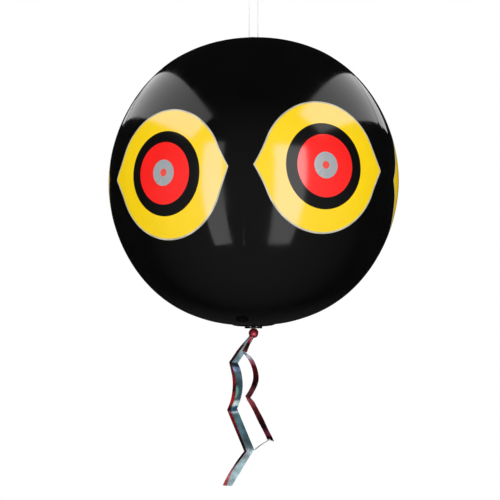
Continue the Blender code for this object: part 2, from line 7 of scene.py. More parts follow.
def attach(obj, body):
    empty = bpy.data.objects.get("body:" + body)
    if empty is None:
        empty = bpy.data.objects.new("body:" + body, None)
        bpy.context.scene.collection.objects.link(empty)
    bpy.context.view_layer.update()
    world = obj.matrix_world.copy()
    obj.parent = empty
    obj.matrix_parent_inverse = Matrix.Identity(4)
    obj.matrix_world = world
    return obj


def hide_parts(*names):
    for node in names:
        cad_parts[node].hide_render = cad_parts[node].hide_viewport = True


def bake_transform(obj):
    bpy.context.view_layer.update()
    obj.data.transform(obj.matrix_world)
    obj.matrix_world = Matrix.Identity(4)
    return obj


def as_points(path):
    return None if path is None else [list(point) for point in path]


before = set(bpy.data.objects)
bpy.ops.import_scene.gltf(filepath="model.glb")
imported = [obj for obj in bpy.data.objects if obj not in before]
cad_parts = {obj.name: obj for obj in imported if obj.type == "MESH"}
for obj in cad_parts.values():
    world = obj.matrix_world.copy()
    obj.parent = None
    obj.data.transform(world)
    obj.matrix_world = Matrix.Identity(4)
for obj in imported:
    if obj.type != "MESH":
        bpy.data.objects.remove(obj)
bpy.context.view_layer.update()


# Camera and studio. The camera is level, 1 m in front of the ball and a little below its middle. The sheet
# behind is lit for the camera. The room is dark in the ball's gloss, a little less so in front and at the
# sheet's foot, but for four softboxes: a long one high on either side, whose ends lie behind the ball, and an
# upright one in front at left and right.
BALL_CENTRE_Z = -0.2771
CAMERA_PLACE = (-0.0049, -1.0, BALL_CENTRE_Z - 0.0914)
CAMERA_LENS = 51.39
SHEET_WHITE = 1.0
ROOM_LIGHT = 0.9
ROOM_FRONT_IN_GLOSS = 0.15
ROOM_BACK_IN_GLOSS = 0.004
ROOM_FRONT_WAY = (0.0, -0.85, -0.53)
ROOM_FRONT_COSINES = (0.0, 0.86)
SHEET_FOOT_IN_GLOSS = 0.02
SHEET_FOOT_WAY = (0.0, 0.8, -0.6)
SHEET_FOOT_COSINES = (0.88, 0.98)
FLOOR_DROP = 1.0
FLOOR_RADIUS = 1.4


def linear(hex_colour):
    """A colour written as sRGB hex, turned to the linear values that shaders read."""
    channels = [int(hex_colour[i : i + 2], 16) / 255 for i in (1, 3, 5)]
    return [c / 12.92 if c <= 0.04045 else ((c + 0.055) / 1.055) ** 2.4 for c in channels] + [1.0]


def add_node(tree, kind, inputs=None, **settings):
    """Adds one node. Each input is given as a value, or as the output socket to link to it."""
    node = tree.nodes.new(kind)
    for name, value in settings.items():
        setattr(node, name, value)
    for socket, value in (inputs or {}).items():
        if isinstance(value, bpy.types.NodeSocket):
            tree.links.new(value, node.inputs[socket])
        else:
            node.inputs[socket].default_value = value
    return node


def new_material(name, hex_colour, roughness, **sockets):
    """A material with its shader's plain values, and its node tree and shader to build on."""
    made = bpy.data.materials.new(name)
    made.use_nodes = True
    shader = made.node_tree.nodes["Principled BSDF"]
    shader.inputs["Base Color"].default_value = linear(hex_colour)
    shader.inputs["Roughness"].default_value = roughness
    for socket, value in sockets.items():
        shader.inputs[socket.replace("_", " ").title().replace("Ior", "IOR")].default_value = value
    return made, made.node_tree, shader


def add_math(tree, operation, *values):
    """The result of a math node. Its inputs are values or output sockets."""
    return add_node(tree, "ShaderNodeMath", dict(enumerate(values)), operation=operation).outputs[0]


def add_measure(tree, operation, *vectors):
    """The number that a vector math node gives, such as a length."""
    node = add_node(tree, "ShaderNodeVectorMath", dict(enumerate(vectors)), operation=operation)
    return node.outputs["Value"]


def add_range(tree, value, low, high, to_low=0.0, to_high=1.0):
    """A value that runs from low to high, made to run between two others and held to them."""
    inputs = {"Value": value, "From Min": low, "From Max": high, "To Min": to_low, "To Max": to_high}
    return add_node(tree, "ShaderNodeMapRange", inputs).outputs["Result"]


def add_ramp(tree, value, stops):
    """The colour for a value among two or more stops of value and hex colour, lowest first."""
    ramp = add_node(tree, "ShaderNodeValToRGB", {"Fac": value})
    colours = ramp.color_ramp.elements
    for end in (0, -1):
        colours[end].position, colours[end].color = stops[end][0], linear(stops[end][1])
    for position, hex_colour in stops[1:-1]:
        colours.new(position).color = linear(hex_colour)
    return ramp.outputs["Color"]


def add_grain(tree, scale, detail, **inputs):
    """Noise in the part's own space, with a scale per metre."""
    inputs["Vector"] = add_node(tree, "ShaderNodeTexCoord").outputs["Object"]
    inputs |= {"Scale": scale, "Detail": detail}
    return add_node(tree, "ShaderNodeTexNoise", inputs).outputs["Fac"]


def add_bump(tree, shader, height, strength, distance):
    """Bumps a shader's surface by a height from 0 to 1 over a distance in metres."""
    bump = add_node(tree, "ShaderNodeBump", {"Height": height, "Strength": strength, "Distance": distance})
    tree.links.new(bump.outputs["Normal"], shader.inputs["Normal"])


camera_data = bpy.data.cameras.new("camera")
camera_data.lens = CAMERA_LENS
camera_data.sensor_width = 36
camera = bpy.data.objects.new("camera", camera_data)
camera.location = CAMERA_PLACE
camera.rotation_euler = (math.radians(90), 0, 0)
bpy.context.collection.objects.link(camera)
bpy.context.scene.camera = camera
bpy.context.scene.view_settings.view_transform = "Standard"

world = bpy.data.worlds.new("studio")
world.use_nodes = True
bpy.context.scene.world = world
studio = world.node_tree
studio.nodes.clear()
ray = add_node(studio, "ShaderNodeLightPath").outputs
sheet_seen = add_math(studio, "MAXIMUM", ray["Is Camera Ray"], ray["Is Transmission Ray"])
way = add_node(studio, "ShaderNodeTexCoord").outputs["Generated"]
towards_front = add_measure(studio, "DOT_PRODUCT", way, ROOM_FRONT_WAY)
fall_off = add_range(studio, towards_front, *ROOM_FRONT_COSINES, ROOM_BACK_IN_GLOSS, ROOM_FRONT_IN_GLOSS)
towards_foot = add_measure(studio, "DOT_PRODUCT", way, SHEET_FOOT_WAY)
sheet_foot = add_range(studio, towards_foot, *SHEET_FOOT_COSINES, 0.0, SHEET_FOOT_IN_GLOSS)
gloss_level = add_math(studio, "ADD", fall_off, sheet_foot)
room, sheet, dark_room = (
    add_node(studio, "ShaderNodeBackground", {"Color": (1, 1, 1, 1), "Strength": level}).outputs[0]
    for level in (ROOM_LIGHT, SHEET_WHITE, gloss_level)
)
lit = add_node(studio, "ShaderNodeMixShader", {0: sheet_seen, 1: room, 2: sheet}).outputs[0]
glossed = add_node(studio, "ShaderNodeMixShader", {0: ray["Is Glossy Ray"], 1: lit, 2: dark_room})
add_node(studio, "ShaderNodeOutputWorld", {"Surface": glossed.outputs[0]})

# Name, place from the ball's middle, way that its back faces, long way, width, length and power for its area
SOFTBOXES = (
    ("high_left", (-0.872, 0.469, 0.816), (-0.66, -0.02, 0.75), (0.03, -1.0, 0.0), 0.48, 2.79, 4.1),
    ("high_right", (0.930, 0.189, 0.810), (0.47, 0.15, 0.87), (-0.06, 0.99, -0.14), 0.53, 2.31, 4.1),
    ("front_left", (-0.534, -1.023, -0.235), (-0.42, -0.90, -0.12), (-0.07, -0.10, 0.99), 0.30, 1.57, 4.9),
    ("front_right", (0.465, -1.015, -0.386), (0.25, -0.96, 0.09), (-0.02, 0.08, 1.0), 0.42, 1.56, 4.9),
)
for name, place, back, long_way, width, length, power in SOFTBOXES:
    softbox = bpy.data.lights.new(name, "AREA")
    softbox.shape = "RECTANGLE"
    softbox.size = width
    softbox.size_y = length
    softbox.energy = power * width * length
    lamp = bpy.data.objects.new(name, softbox)
    lamp.visible_camera = False
    bpy.context.collection.objects.link(lamp)
    away = Vector(back).normalized()
    right = Vector(long_way).cross(away).normalized()
    turn = Matrix((right, away.cross(right), away)).transposed().to_4x4()
    lamp.matrix_world = Matrix.Translation(Vector(place) + Vector((0, 0, BALL_CENTRE_Z))) @ turn

# Painted floor: matt pale grey-white. It lights the ball softly from below and isn't in the camera's view.
bpy.ops.mesh.primitive_circle_add(
    vertices=64, radius=FLOOR_RADIUS, fill_type="NGON", location=(0, 0, BALL_CENTRE_Z - FLOOR_DROP)
)
floor = bpy.context.object
floor.name = "floor"
floor.data.materials.append(new_material("matt floor paint", "#f0f0ee", 0.9)[0])
floor.visible_camera = False
floor.visible_glossy = False


# Hang cord. White twisted nylon, three strands laid together, 2 mm thick. It bears on a hook at the origin,
# passes under the strap on the ball's crown, and both its ends go up into the knot that closes the loop.
CORD_DIAMETER = 0.002
CORD_HALF_SPACING = 0.006
CORD_STRANDS = 3
CORD_LAY = 0.0062
CORD_GROOVE = 0.20
CORD_TOP_Z = -0.005
CORD_LOW_Z = -0.072
KNOT_TOP_Z = -0.008
KNOT_BOTTOM_Z = -0.017
CORD_IN_KNOT = 0.0041
CORD_STEP = 0.0004
CORD_SIDES = 21


def select_only(*pieces):
    """Selects these pieces and no others, and makes the last of them the active one."""
    bpy.ops.object.select_all(action="DESELECT")
    for piece in pieces:
        piece.select_set(True)
    bpy.context.view_layer.objects.active = pieces[-1]


def add_grid(name, columns, rows, place):
    """A grid primitive whose points move to place(u, v): u runs to the right and v up, both 0 to 1."""
    bpy.ops.mesh.primitive_grid_add(x_subdivisions=columns, y_subdivisions=rows, size=1)
    made = bpy.context.object
    made.name = made.data.name = name
    for vertex in made.data.vertices:
        vertex.co = place(vertex.co.x + 0.5, vertex.co.y + 0.5)
    made.data.shade_smooth()
    return made


def in_edit_mode(piece, *operators):
    """Runs operators on all of a piece's faces in edit mode."""
    select_only(piece)
    bpy.ops.object.mode_set(mode="EDIT")
    bpy.ops.mesh.select_mode(type="VERT")
    bpy.ops.mesh.select_all(action="SELECT")
    for operator in operators:
        operator()
    bpy.ops.object.mode_set(mode="OBJECT")


def weld(piece):
    """Joins the edges of a grid that meet, fills its open ends and turns its faces outwards."""
    in_edit_mode(
        piece,
        lambda: bpy.ops.mesh.remove_doubles(threshold=2e-6),
        lambda: bpy.ops.mesh.select_all(action="DESELECT"),
        lambda: bpy.ops.mesh.select_non_manifold(),
        lambda: bpy.ops.mesh.fill_holes(sides=0),
        lambda: bpy.ops.mesh.select_all(action="SELECT"),
        lambda: bpy.ops.mesh.normals_make_consistent(inside=False),
    )


def sample_route(points, step):
    """Points a step apart along a line of points, with the line's direction at each."""
    lengths = [0.0]
    for a, b in zip(points, points[1:]):
        lengths.append(lengths[-1] + (b - a).length)
    count = max(2, round(lengths[-1] / step))
    found, at = [], 0
    for k in range(count + 1):
        want = lengths[-1] * k / count
        while at < len(points) - 2 and lengths[at + 1] < want:
            at += 1
        share = (want - lengths[at]) / (lengths[at + 1] - lengths[at])
        found.append(points[at].lerp(points[at + 1], share))
    ways = [(found[min(i + 1, count)] - found[max(i - 1, 0)]).normalized() for i in range(count + 1)]
    return found, ways


def add_cord_tube(name, points, blunt_ends):
    """Three-strand cord along a line of points; blunt ends are melted round, others stay square."""
    route, ways = sample_route(points, CORD_STEP)
    sides = [Vector((0, 1, 0))]
    for way in ways:
        side = sides[-1] - way * sides[-1].dot(way)
        sides.append(side.normalized())
    last = len(route) - 1

    def place(u, v):
        at = round(u * last)
        turn = 2 * math.pi * v
        side = sides[at + 1]
        other = ways[at].cross(side)
        along = at * CORD_STEP
        lobe = abs(math.cos(CORD_STRANDS / 2 * (turn - 2 * math.pi * along / CORD_LAY)))
        radius = CORD_DIAMETER / 2 * (1 - CORD_GROOVE * (1 - lobe**0.6))
        if blunt_ends:
            from_end = min(at, last - at) * CORD_STEP / CORD_DIAMETER
            radius *= math.sqrt(max(0.04, 1 - max(0.0, 1 - 2 * from_end) ** 2))
        return route[at] + (side * math.cos(turn) + other * math.sin(turn)) * radius

    tube = add_grid(name, last, CORD_SIDES, place)
    weld(tube)
    return tube, route


def half_circle(middle, radius, side):
    """Points from the left over the top, side 1, or under the bottom, side -1, to the right."""
    turns = [math.pi * k / 24 for k in range(25)]
    return [middle + Vector((-math.cos(t) * radius, 0, side * math.sin(t) * radius)) for t in turns]


# Twisted nylon: soft white, matt, with the fine fibres of each strand, about 0.15 mm apart, as a faint bump
nylon, tree, shader = new_material("white twisted nylon cord", "#f4f3f2", 0.62, sheen_weight=0.25)
shade = add_ramp(tree, add_grain(tree, 90.0, 2.0), ((0.35, "#eeedeb"), (0.6, "#fafaf9")))
tree.links.new(shade, shader.inputs["Base Color"])
add_bump(tree, shader, add_grain(tree, 2600.0, 3.0), 0.5, 0.0001)

right_x = CORD_HALF_SPACING
loop_points = [Vector((right_x, 0, KNOT_BOTTOM_Z + CORD_IN_KNOT)), Vector((right_x, 0, CORD_LOW_Z))]
loop_points += half_circle(Vector((0, 0, CORD_LOW_Z)), CORD_HALF_SPACING, -1)[-2::-1]
loop_points += half_circle(Vector((0, 0, CORD_TOP_Z)), CORD_HALF_SPACING, 1)
loop_points += [Vector((right_x, 0, KNOT_TOP_Z - CORD_IN_KNOT))]
cord, cord_route = add_cord_tube("hang_cord_loop", loop_points, blunt_ends=False)
cord.data.materials.append(nylon)
cord_length = sum((b - a).length for a, b in zip(cord_route, cord_route[1:]))


# Cord knot. The loop's two ends are wound round each other and pulled tight, four turns in all, and stand
# out a little at the side, melted blunt.
KNOT_TURNS = 4
KNOT_WIND_RADIUS = 0.00215
KNOT_WIND_LOW = -0.01655
KNOT_WIND_HIGH = -0.00845
KNOT_END_LENGTH = 0.0074
LOW_END_RISE = -0.45
HIGH_END_RISE = 0.5


def knot_end(start, rise):
    """Points of a loose end from start outwards, curving up or down."""
    points = []
    for k in range(1, 7):
        share = k / 6
        bend = share * share
        points.append(start + Vector((0.8 * share + 0.2 * bend, -0.25 * bend, rise * bend)) * KNOT_END_LENGTH)
    return points


wind_steps = 28 * KNOT_TURNS
winding = []
for k in range(wind_steps + 1):
    turn = 2 * math.pi * KNOT_TURNS * k / wind_steps
    height = KNOT_WIND_LOW + (KNOT_WIND_HIGH - KNOT_WIND_LOW) * k / wind_steps
    winding.append(
        Vector((right_x + KNOT_WIND_RADIUS * math.sin(turn), -KNOT_WIND_RADIUS * math.cos(turn), height))
    )
knot_points = knot_end(winding[0], LOW_END_RISE)[::-1] + winding + knot_end(winding[-1], HIGH_END_RISE)
cord_knot = add_cord_tube("cord_knot_wound", knot_points, blunt_ends=True)[0]
cord_knot.data.materials.append(nylon)
for strands in (cord, cord_knot):
    strands.visible_glossy = False
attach(cord_knot, "hanger")
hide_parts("cord_knot")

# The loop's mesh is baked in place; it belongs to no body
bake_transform(cord)
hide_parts("hang_cord", "cord_top_bend")
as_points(cord_route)


# Gores. Six panels of black PVC film, 0.4 mm thick, cut as lunes and heat-welded into a ball: each right edge
# laps 5 mm over the next gore. The weld puckers the film a little on either side of the seam.
BALL_RADIUS = 0.200
SHOULDER_FULLNESS = 0.0174
SHOULDER_PEAK = 4 / 27
POLE_FLATNESS = 0.020
BALL_SKEW = 0.0113
EQUATOR_DRAW = 0.0045
GORE_COUNT = 6
GORE_PITCH = math.radians(360 / GORE_COUNT)
FRONT_SEAM_AZIMUTH = math.radians(-3.2)
FILM_THICKNESS = 0.0004
FILM_GAP = 0.0003
LAP_LIFT = 0.00016
LAP_THICKNESS = 0.35
LAP_EDGE_SHARE = 0.35
LAP_EDGE_THICKNESS = 0.1
LAP_WIDTH = 0.005
LAP_RAMP = 0.003
GORE_END_POLAR = math.asin(0.012 / BALL_RADIUS)
GORE_BODY_COLUMNS = 56
GORE_RAMP_COLUMNS = 4
GORE_LAP_COLUMNS = 6
GORE_ROWS = 150
PUCKER_DEPTH = 0.00022
PUCKER_PITCH = 0.011
PUCKER_REACH = 0.009
PUCKER_FADE = 0.004


def direction(azimuth, elevation):
    """Unit vector from the ball's centre; azimuth runs from the front, -Y, towards +X, in radians."""
    level = math.cos(elevation)
    return Vector((math.sin(azimuth) * level, -math.cos(azimuth) * level, math.sin(elevation)))


def on_ball(way, lift):
    """The point a lift above the film in a direction. The ball is flattened at its poles, full at its
    shoulders, drawn in a little round its middle and a little askew."""
    high = way.z * way.z
    share = 1 + SHOULDER_FULLNESS * high * high * (1 - high) / SHOULDER_PEAK - POLE_FLATNESS * high
    share += BALL_SKEW * way.x * way.z - EQUATOR_DRAW * (1 - high) ** 4
    return ball_centre + way * (BALL_RADIUS * share + lift)


def finish_with(piece, kind, **settings):
    """Applies one modifier to a piece."""
    modifier = piece.modifiers.new(kind.title(), kind)
    for name, value in settings.items():
        setattr(modifier, name, value)
    select_only(piece)
    bpy.ops.object.modifier_apply(modifier=modifier.name)


def round_edges(piece, width, segments):
    """Rounds the edges of a moulding."""
    sharp = math.radians(40)
    finish_with(piece, "BEVEL", width=width, segments=segments, limit_method="ANGLE", angle_limit=sharp)


def smooth_under(piece, degrees):
    """Smooth shading but for edges sharper than an angle."""
    select_only(piece)
    bpy.ops.object.shade_smooth_by_angle(angle=math.radians(degrees))


def pucker(from_seam, along, seed):
    """How far the film is drawn in near a weld, from the distance to it and the place along it."""
    wander = noise.noise(Vector((along / 0.03, seed, 0.0)))
    wave = 0.5 + 0.5 * math.sin(2 * math.pi * along / PUCKER_PITCH + 5 * wander)
    return PUCKER_DEPTH * wave * (0.6 + 0.8 * abs(wander)) * math.exp(-((from_seam / PUCKER_REACH) ** 2))


def ease(share):
    """A share from 0 to 1 with a smooth start and end."""
    share = min(1.0, max(0.0, share))
    return share * share * (3 - 2 * share)


def gore_turn(column, level_radius):
    """A column's azimuth from the left seam, lift and film thickness, where the ball is this wide: the film
    is pressed thin where it laps the next gore, and thinner at its edge."""
    start = FILM_GAP / level_radius
    ramp_start = GORE_PITCH - LAP_RAMP / level_radius
    if column <= GORE_BODY_COLUMNS:
        return start + (ramp_start - start) * column / GORE_BODY_COLUMNS, 0.0, 1.0
    share = min(1.0, (column - GORE_BODY_COLUMNS) / GORE_RAMP_COLUMNS)
    lap = max(0.0, (column - GORE_BODY_COLUMNS - GORE_RAMP_COLUMNS) / GORE_LAP_COLUMNS)
    turn = ramp_start + (LAP_RAMP * share + LAP_WIDTH * lap) / level_radius
    edge = ease((lap - 1 + LAP_EDGE_SHARE) / LAP_EDGE_SHARE)
    thickness = 1 - (1 - LAP_THICKNESS) * ease(share) - (LAP_THICKNESS - LAP_EDGE_THICKNESS) * edge
    lift = LAP_LIFT * ease(share) - (LAP_THICKNESS - LAP_EDGE_THICKNESS) * FILM_THICKNESS * edge
    return turn, lift, thickness


def add_gore(index, vinyl):
    """One gore from pole to pole, with its own thickness."""
    left = FRONT_SEAM_AZIMUTH + (index - 1) * GORE_PITCH
    columns = GORE_BODY_COLUMNS + GORE_RAMP_COLUMNS + GORE_LAP_COLUMNS

    def place(u, v):
        polar = GORE_END_POLAR + (math.pi - 2 * GORE_END_POLAR) * (1 - v)
        level_radius = BALL_RADIUS * math.sin(polar)
        turn, lift, _ = gore_turn(round(u * columns), level_radius)
        from_left, from_right = turn * level_radius, abs(GORE_PITCH - turn) * level_radius
        drawn = pucker(from_left, polar * BALL_RADIUS, index) if from_left < from_right else 0.0
        if turn < GORE_PITCH and from_right <= from_left:
            drawn = pucker(from_right, polar * BALL_RADIUS, index + 1) * min(1.0, from_right / PUCKER_FADE)
        way = direction(left + turn, math.pi / 2 - polar)
        return on_ball(way, lift - drawn)

    gore = add_grid(f"gore_{index + 1}_film", columns, GORE_ROWS, place)
    film = gore.vertex_groups.new(name="film")
    for vertex in gore.data.vertices:
        film.add([vertex.index], gore_turn(vertex.index % (columns + 1), BALL_RADIUS)[2], "REPLACE")
    finish_with(gore, "SOLIDIFY", thickness=FILM_THICKNESS, offset=-1, vertex_group="film")
    smooth_under(gore, 40)
    gore.data.materials.append(vinyl)
    return gore


ball_centre = Vector((0, 0, BALL_CENTRE_Z))

# Black PVC film: deep glossy black. Its gloss is broken by a slight orange peel, about 4 mm across, from the
# casting, and by handling smears about 50 mm long that are a little less glossy.
vinyl, tree, shader = new_material("black PVC film", "#060606", 0.1)
gloss = add_range(tree, add_grain(tree, 20.0, 4.0, Distortion=0.6), 0.35, 0.75, 0.07, 0.15)
tree.links.new(gloss, shader.inputs["Roughness"])
add_bump(tree, shader, add_grain(tree, 250.0, 2.0), 0.25, 0.00004)

gores = [add_gore(index, vinyl) for index in range(GORE_COUNT)]


# Pole patches. A round of the same film over the gores' ends at the crown and underneath, welded by a ring
# near its edge that leaves a shallow knurled groove.
PATCH_LIFT = 0.0014
PATCH_REACH = 0.030
WELD_REACH = (0.0235, 0.0280)
WELD_DEPTH = 0.00016
WELD_SLOPE = 0.0008
WELD_TEETH = 84
WELD_TOOTH_SHARE = 0.4
PATCH_SIDES = 252
PATCH_ROWS = 60


def weld_groove(bearing, reach):
    """How deep a pole patch's face is pressed in, and knurled, in its weld ring."""
    inner, outer = WELD_REACH
    from_inner = min(1.0, max(0.0, (reach - inner) / WELD_SLOPE))
    inside = from_inner * min(1.0, max(0.0, (outer - reach) / WELD_SLOPE))
    tooth = 1 - WELD_TOOTH_SHARE * (1 - math.cos(WELD_TEETH * bearing))
    return WELD_DEPTH * inside * tooth


def patch_place(side):
    """The place function of the patch at a pole: u runs round it and v from its middle outwards."""

    def place(u, v):
        bearing, reach = 2 * math.pi * u, v * PATCH_REACH
        arc = reach / BALL_RADIUS
        level = Vector((math.cos(bearing), side * math.sin(bearing), 0))
        way = level * math.sin(arc) + Vector((0, 0, side * math.cos(arc)))
        return on_ball(way, PATCH_LIFT - weld_groove(bearing, reach))

    return place


for name, side in (("top_patch", 1), ("bottom_patch", -1)):
    patch = add_grid(name + "_film", PATCH_SIDES, PATCH_ROWS, patch_place(side))
    in_edit_mode(patch, lambda: bpy.ops.mesh.remove_doubles(threshold=2e-6))
    finish_with(patch, "SOLIDIFY", thickness=FILM_THICKNESS, offset=1)
    smooth_under(patch, 40)
    patch.data.materials.append(vinyl)
    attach(patch, "ball")
    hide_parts(name)


# Straps. A small bridge moulded in soft black PVC on either patch: a bar on two posts, with a foot outside
# each post that is welded to the patch. The cord passes under the upper one, and the ribbon goes round the
# lower one.
STRAP_HALF_LENGTH = 0.0122
STRAP_HALF_WIDTH = 0.0015
STRAP_THICKNESS = 0.0016
TOP_STRAP_POST = 0.0018
BOTTOM_STRAP_POST = 0.0074
STRAP_FOOT_LENGTH = 0.003
STRAP_FOOT_THICKNESS = 0.0006
STRAP_ROUNDING = 0.00035
TOP_OPENING = 0.00319
BOTTOM_OPENING = 0.0022


def select_faces(piece, test):
    """Selects only the faces whose middle and normal pass a test."""
    for part in (piece.data.vertices, piece.data.edges, piece.data.polygons):
        part.foreach_set("select", [False] * len(part))
    for face in piece.data.polygons:
        face.select = test(face.center, face.normal)


def extrude_faces(piece, test, by):
    """Extrudes the faces that pass a test."""
    select_faces(piece, test)
    bpy.ops.object.mode_set(mode="EDIT")
    bpy.ops.mesh.select_mode(type="FACE")
    bpy.ops.mesh.extrude_region_move(TRANSFORM_OT_translate={"value": by})
    bpy.ops.object.mode_set(mode="OBJECT")


pole_height = (on_ball(Vector((0, 0, 1)), PATCH_LIFT) - ball_centre).z


def add_strap(name, side, opening, post):
    """A strap bridging a pole patch: along X below the ball, and along Y on its crown."""
    bpy.ops.mesh.primitive_cube_add(size=1)
    strap = bpy.context.object
    strap.name = strap.data.name = name
    for vertex in strap.data.vertices:
        vertex.co.x *= 2 * STRAP_HALF_LENGTH
        vertex.co.y *= 2 * STRAP_HALF_WIDTH
        vertex.co.z = opening + STRAP_THICKNESS * (vertex.co.z + 0.5)
    post_x = STRAP_HALF_LENGTH - post
    in_edit_mode(
        strap,
        lambda: bpy.ops.mesh.bisect(plane_co=(post_x, 0, 0), plane_no=(1, 0, 0)),
        lambda: bpy.ops.mesh.select_all(action="SELECT"),
        lambda: bpy.ops.mesh.bisect(plane_co=(-post_x, 0, 0), plane_no=(1, 0, 0)),
    )
    for way in (1, -1):
        under = lambda middle, normal: normal.z < -0.9 and middle.x * way > post_x
        outer = lambda middle, normal: normal.x * way > 0.9 and middle.z < STRAP_FOOT_THICKNESS
        extrude_faces(strap, under, (0, 0, STRAP_FOOT_THICKNESS - opening))
        extrude_faces(strap, under, (0, 0, -STRAP_FOOT_THICKNESS))
        extrude_faces(strap, outer, (way * STRAP_FOOT_LENGTH, 0, 0))
    round_edges(strap, STRAP_ROUNDING, 4)
    finish_with(strap, "SUBSURF", levels=1, render_levels=1, subdivision_type="SIMPLE")
    for vertex in strap.data.vertices:
        along, across, height = vertex.co
        low = max(0.0, 1 - height / STRAP_FOOT_THICKNESS / 1.5)
        lean = along / BALL_RADIUS
        seat = on_ball(Vector((lean, 0, math.sqrt(1 - lean**2))), PATCH_LIFT)
        fall = (pole_height - (seat - ball_centre).z - FILM_GAP) * min(1.0, 2 * low)
        spot = (-across, along) if side > 0 else (along, -across)
        vertex.co = ball_centre + Vector((*spot, side * (pole_height + height - fall)))
    smooth_under(strap, 50)
    return strap


# Moulded soft PVC: black, matt rather than glossy, with the fine grain of a sparked mould, about 0.4 mm
moulded, tree, shader = new_material("black moulded PVC", "#040404", 0.5, specular_ior_level=0.06)
add_bump(tree, shader, add_grain(tree, 2500.0, 2.0), 0.4, 0.00005)

for name, side, opening, post in (
    ("top_strap", 1, TOP_OPENING, TOP_STRAP_POST),
    ("bottom_strap", -1, BOTTOM_OPENING, BOTTOM_STRAP_POST),
):
    strap = add_strap(name + "_moulded", side, opening, post)
    strap.data.materials.append(moulded)
    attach(strap, "ball")
    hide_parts(name)


# Eyes. Each is one piece of printed foil stuck on the middle of its gore: a bright outline, a yellow field in
# the shape of an open eye, a black ring, a red disc, a ring left bare of ink and a red middle.
EYE_THICKNESS = 0.0002
EYE_LIFT = 0.0001
EYE_BODY = 0.0797
EYE_LEFT_CORNER = 0.0911
EYE_RIGHT_CORNER = 0.0895
EYE_CORNER_SPREAD = math.radians(22)
CORNER_TURN_SPREAD = math.radians(70)
EYE_BORDER = 0.0020
BLACK_RING_RADIUS = 0.0507
RED_DISC_RADIUS = 0.0369
SILVER_RING_RADIUS = 0.0154
RED_DOT_RADIUS = 0.0045
EYE_SIDES = 240

# How far a print that is off its eye's middle shifts the rows round it: less by this share at the eye's body,
# and by nothing once a corner reaches past the second length by the third
SHIFT_LOST_AT_BODY = 0.55
SHIFT_FADES_FROM = 0.079
SHIFT_FADES_OVER = 0.0105

# Each eye: azimuth from the gore's middle, elevation and tilt, how far its round print is off its middle,
# right and up, and how far its left and right corners are turned up. Degrees and metres.
EYE_PLACES = (
    (-0.86, -1.0, 0.0, (0.0071, 0.0024), (0.0, 4.2)),
    (-1.1, 1.2, 1.0, (-0.0046, 0.0022), (1.8, 0.0)),
    (2.8, -0.8, 0.0, (0.0, 0.0), (0.0, 0.0)),
    (0.0, 0.4, -0.6, (0.0, 0.0), (0.0, 0.0)),
    (0.3, -0.5, 0.5, (0.0, 0.0), (0.0, 0.0)),
    (-3.8, 0.4, 0.0, (0.0, 0.0), (0.0, 0.0)),
)

# Rows of faces from the middle out to each ring's edge: red middle, bare ring, red, black, yellow, outline
EYE_ROWS = (4, 8, 16, 12, 22, 3)
EYE_INKS = (5, 1, 3, 2, 0, 4)


def eye_outline(bearing):
    """Arc from an eye's middle to its edge: a round body drawn out into a left and a right corner."""
    from_corner = abs((bearing + math.pi / 2) % math.pi - math.pi / 2)
    corner = EYE_RIGHT_CORNER if math.cos(bearing) > 0 else EYE_LEFT_CORNER
    flare = max(0.0, 1 - from_corner / EYE_CORNER_SPREAD)
    return EYE_BODY + (corner - EYE_BODY) * flare**2


def eye_bearing(u):
    """Bearing of a column, with the columns closer together at the two corners."""
    quarter, share = divmod(4 * u, 1)
    share = share**1.3 if quarter % 2 == 0 else 1 - (1 - share) ** 1.3
    return (quarter + share) * math.pi / 2


def corner_turn(from_corner, up):
    """How far a bearing is turned up with the corner beside it, in degrees."""
    from_corner = abs((from_corner + math.pi) % (2 * math.pi) - math.pi)
    return up * max(0.0, 1 - from_corner / CORNER_TURN_SPREAD) ** 2


def ring_edges(bearing):
    """Arcs from the middle to each ring's edge at a bearing."""
    outline = eye_outline(bearing)
    return (
        RED_DOT_RADIUS,
        SILVER_RING_RADIUS,
        RED_DISC_RADIUS,
        BLACK_RING_RADIUS,
        outline - EYE_BORDER,
        outline,
    )


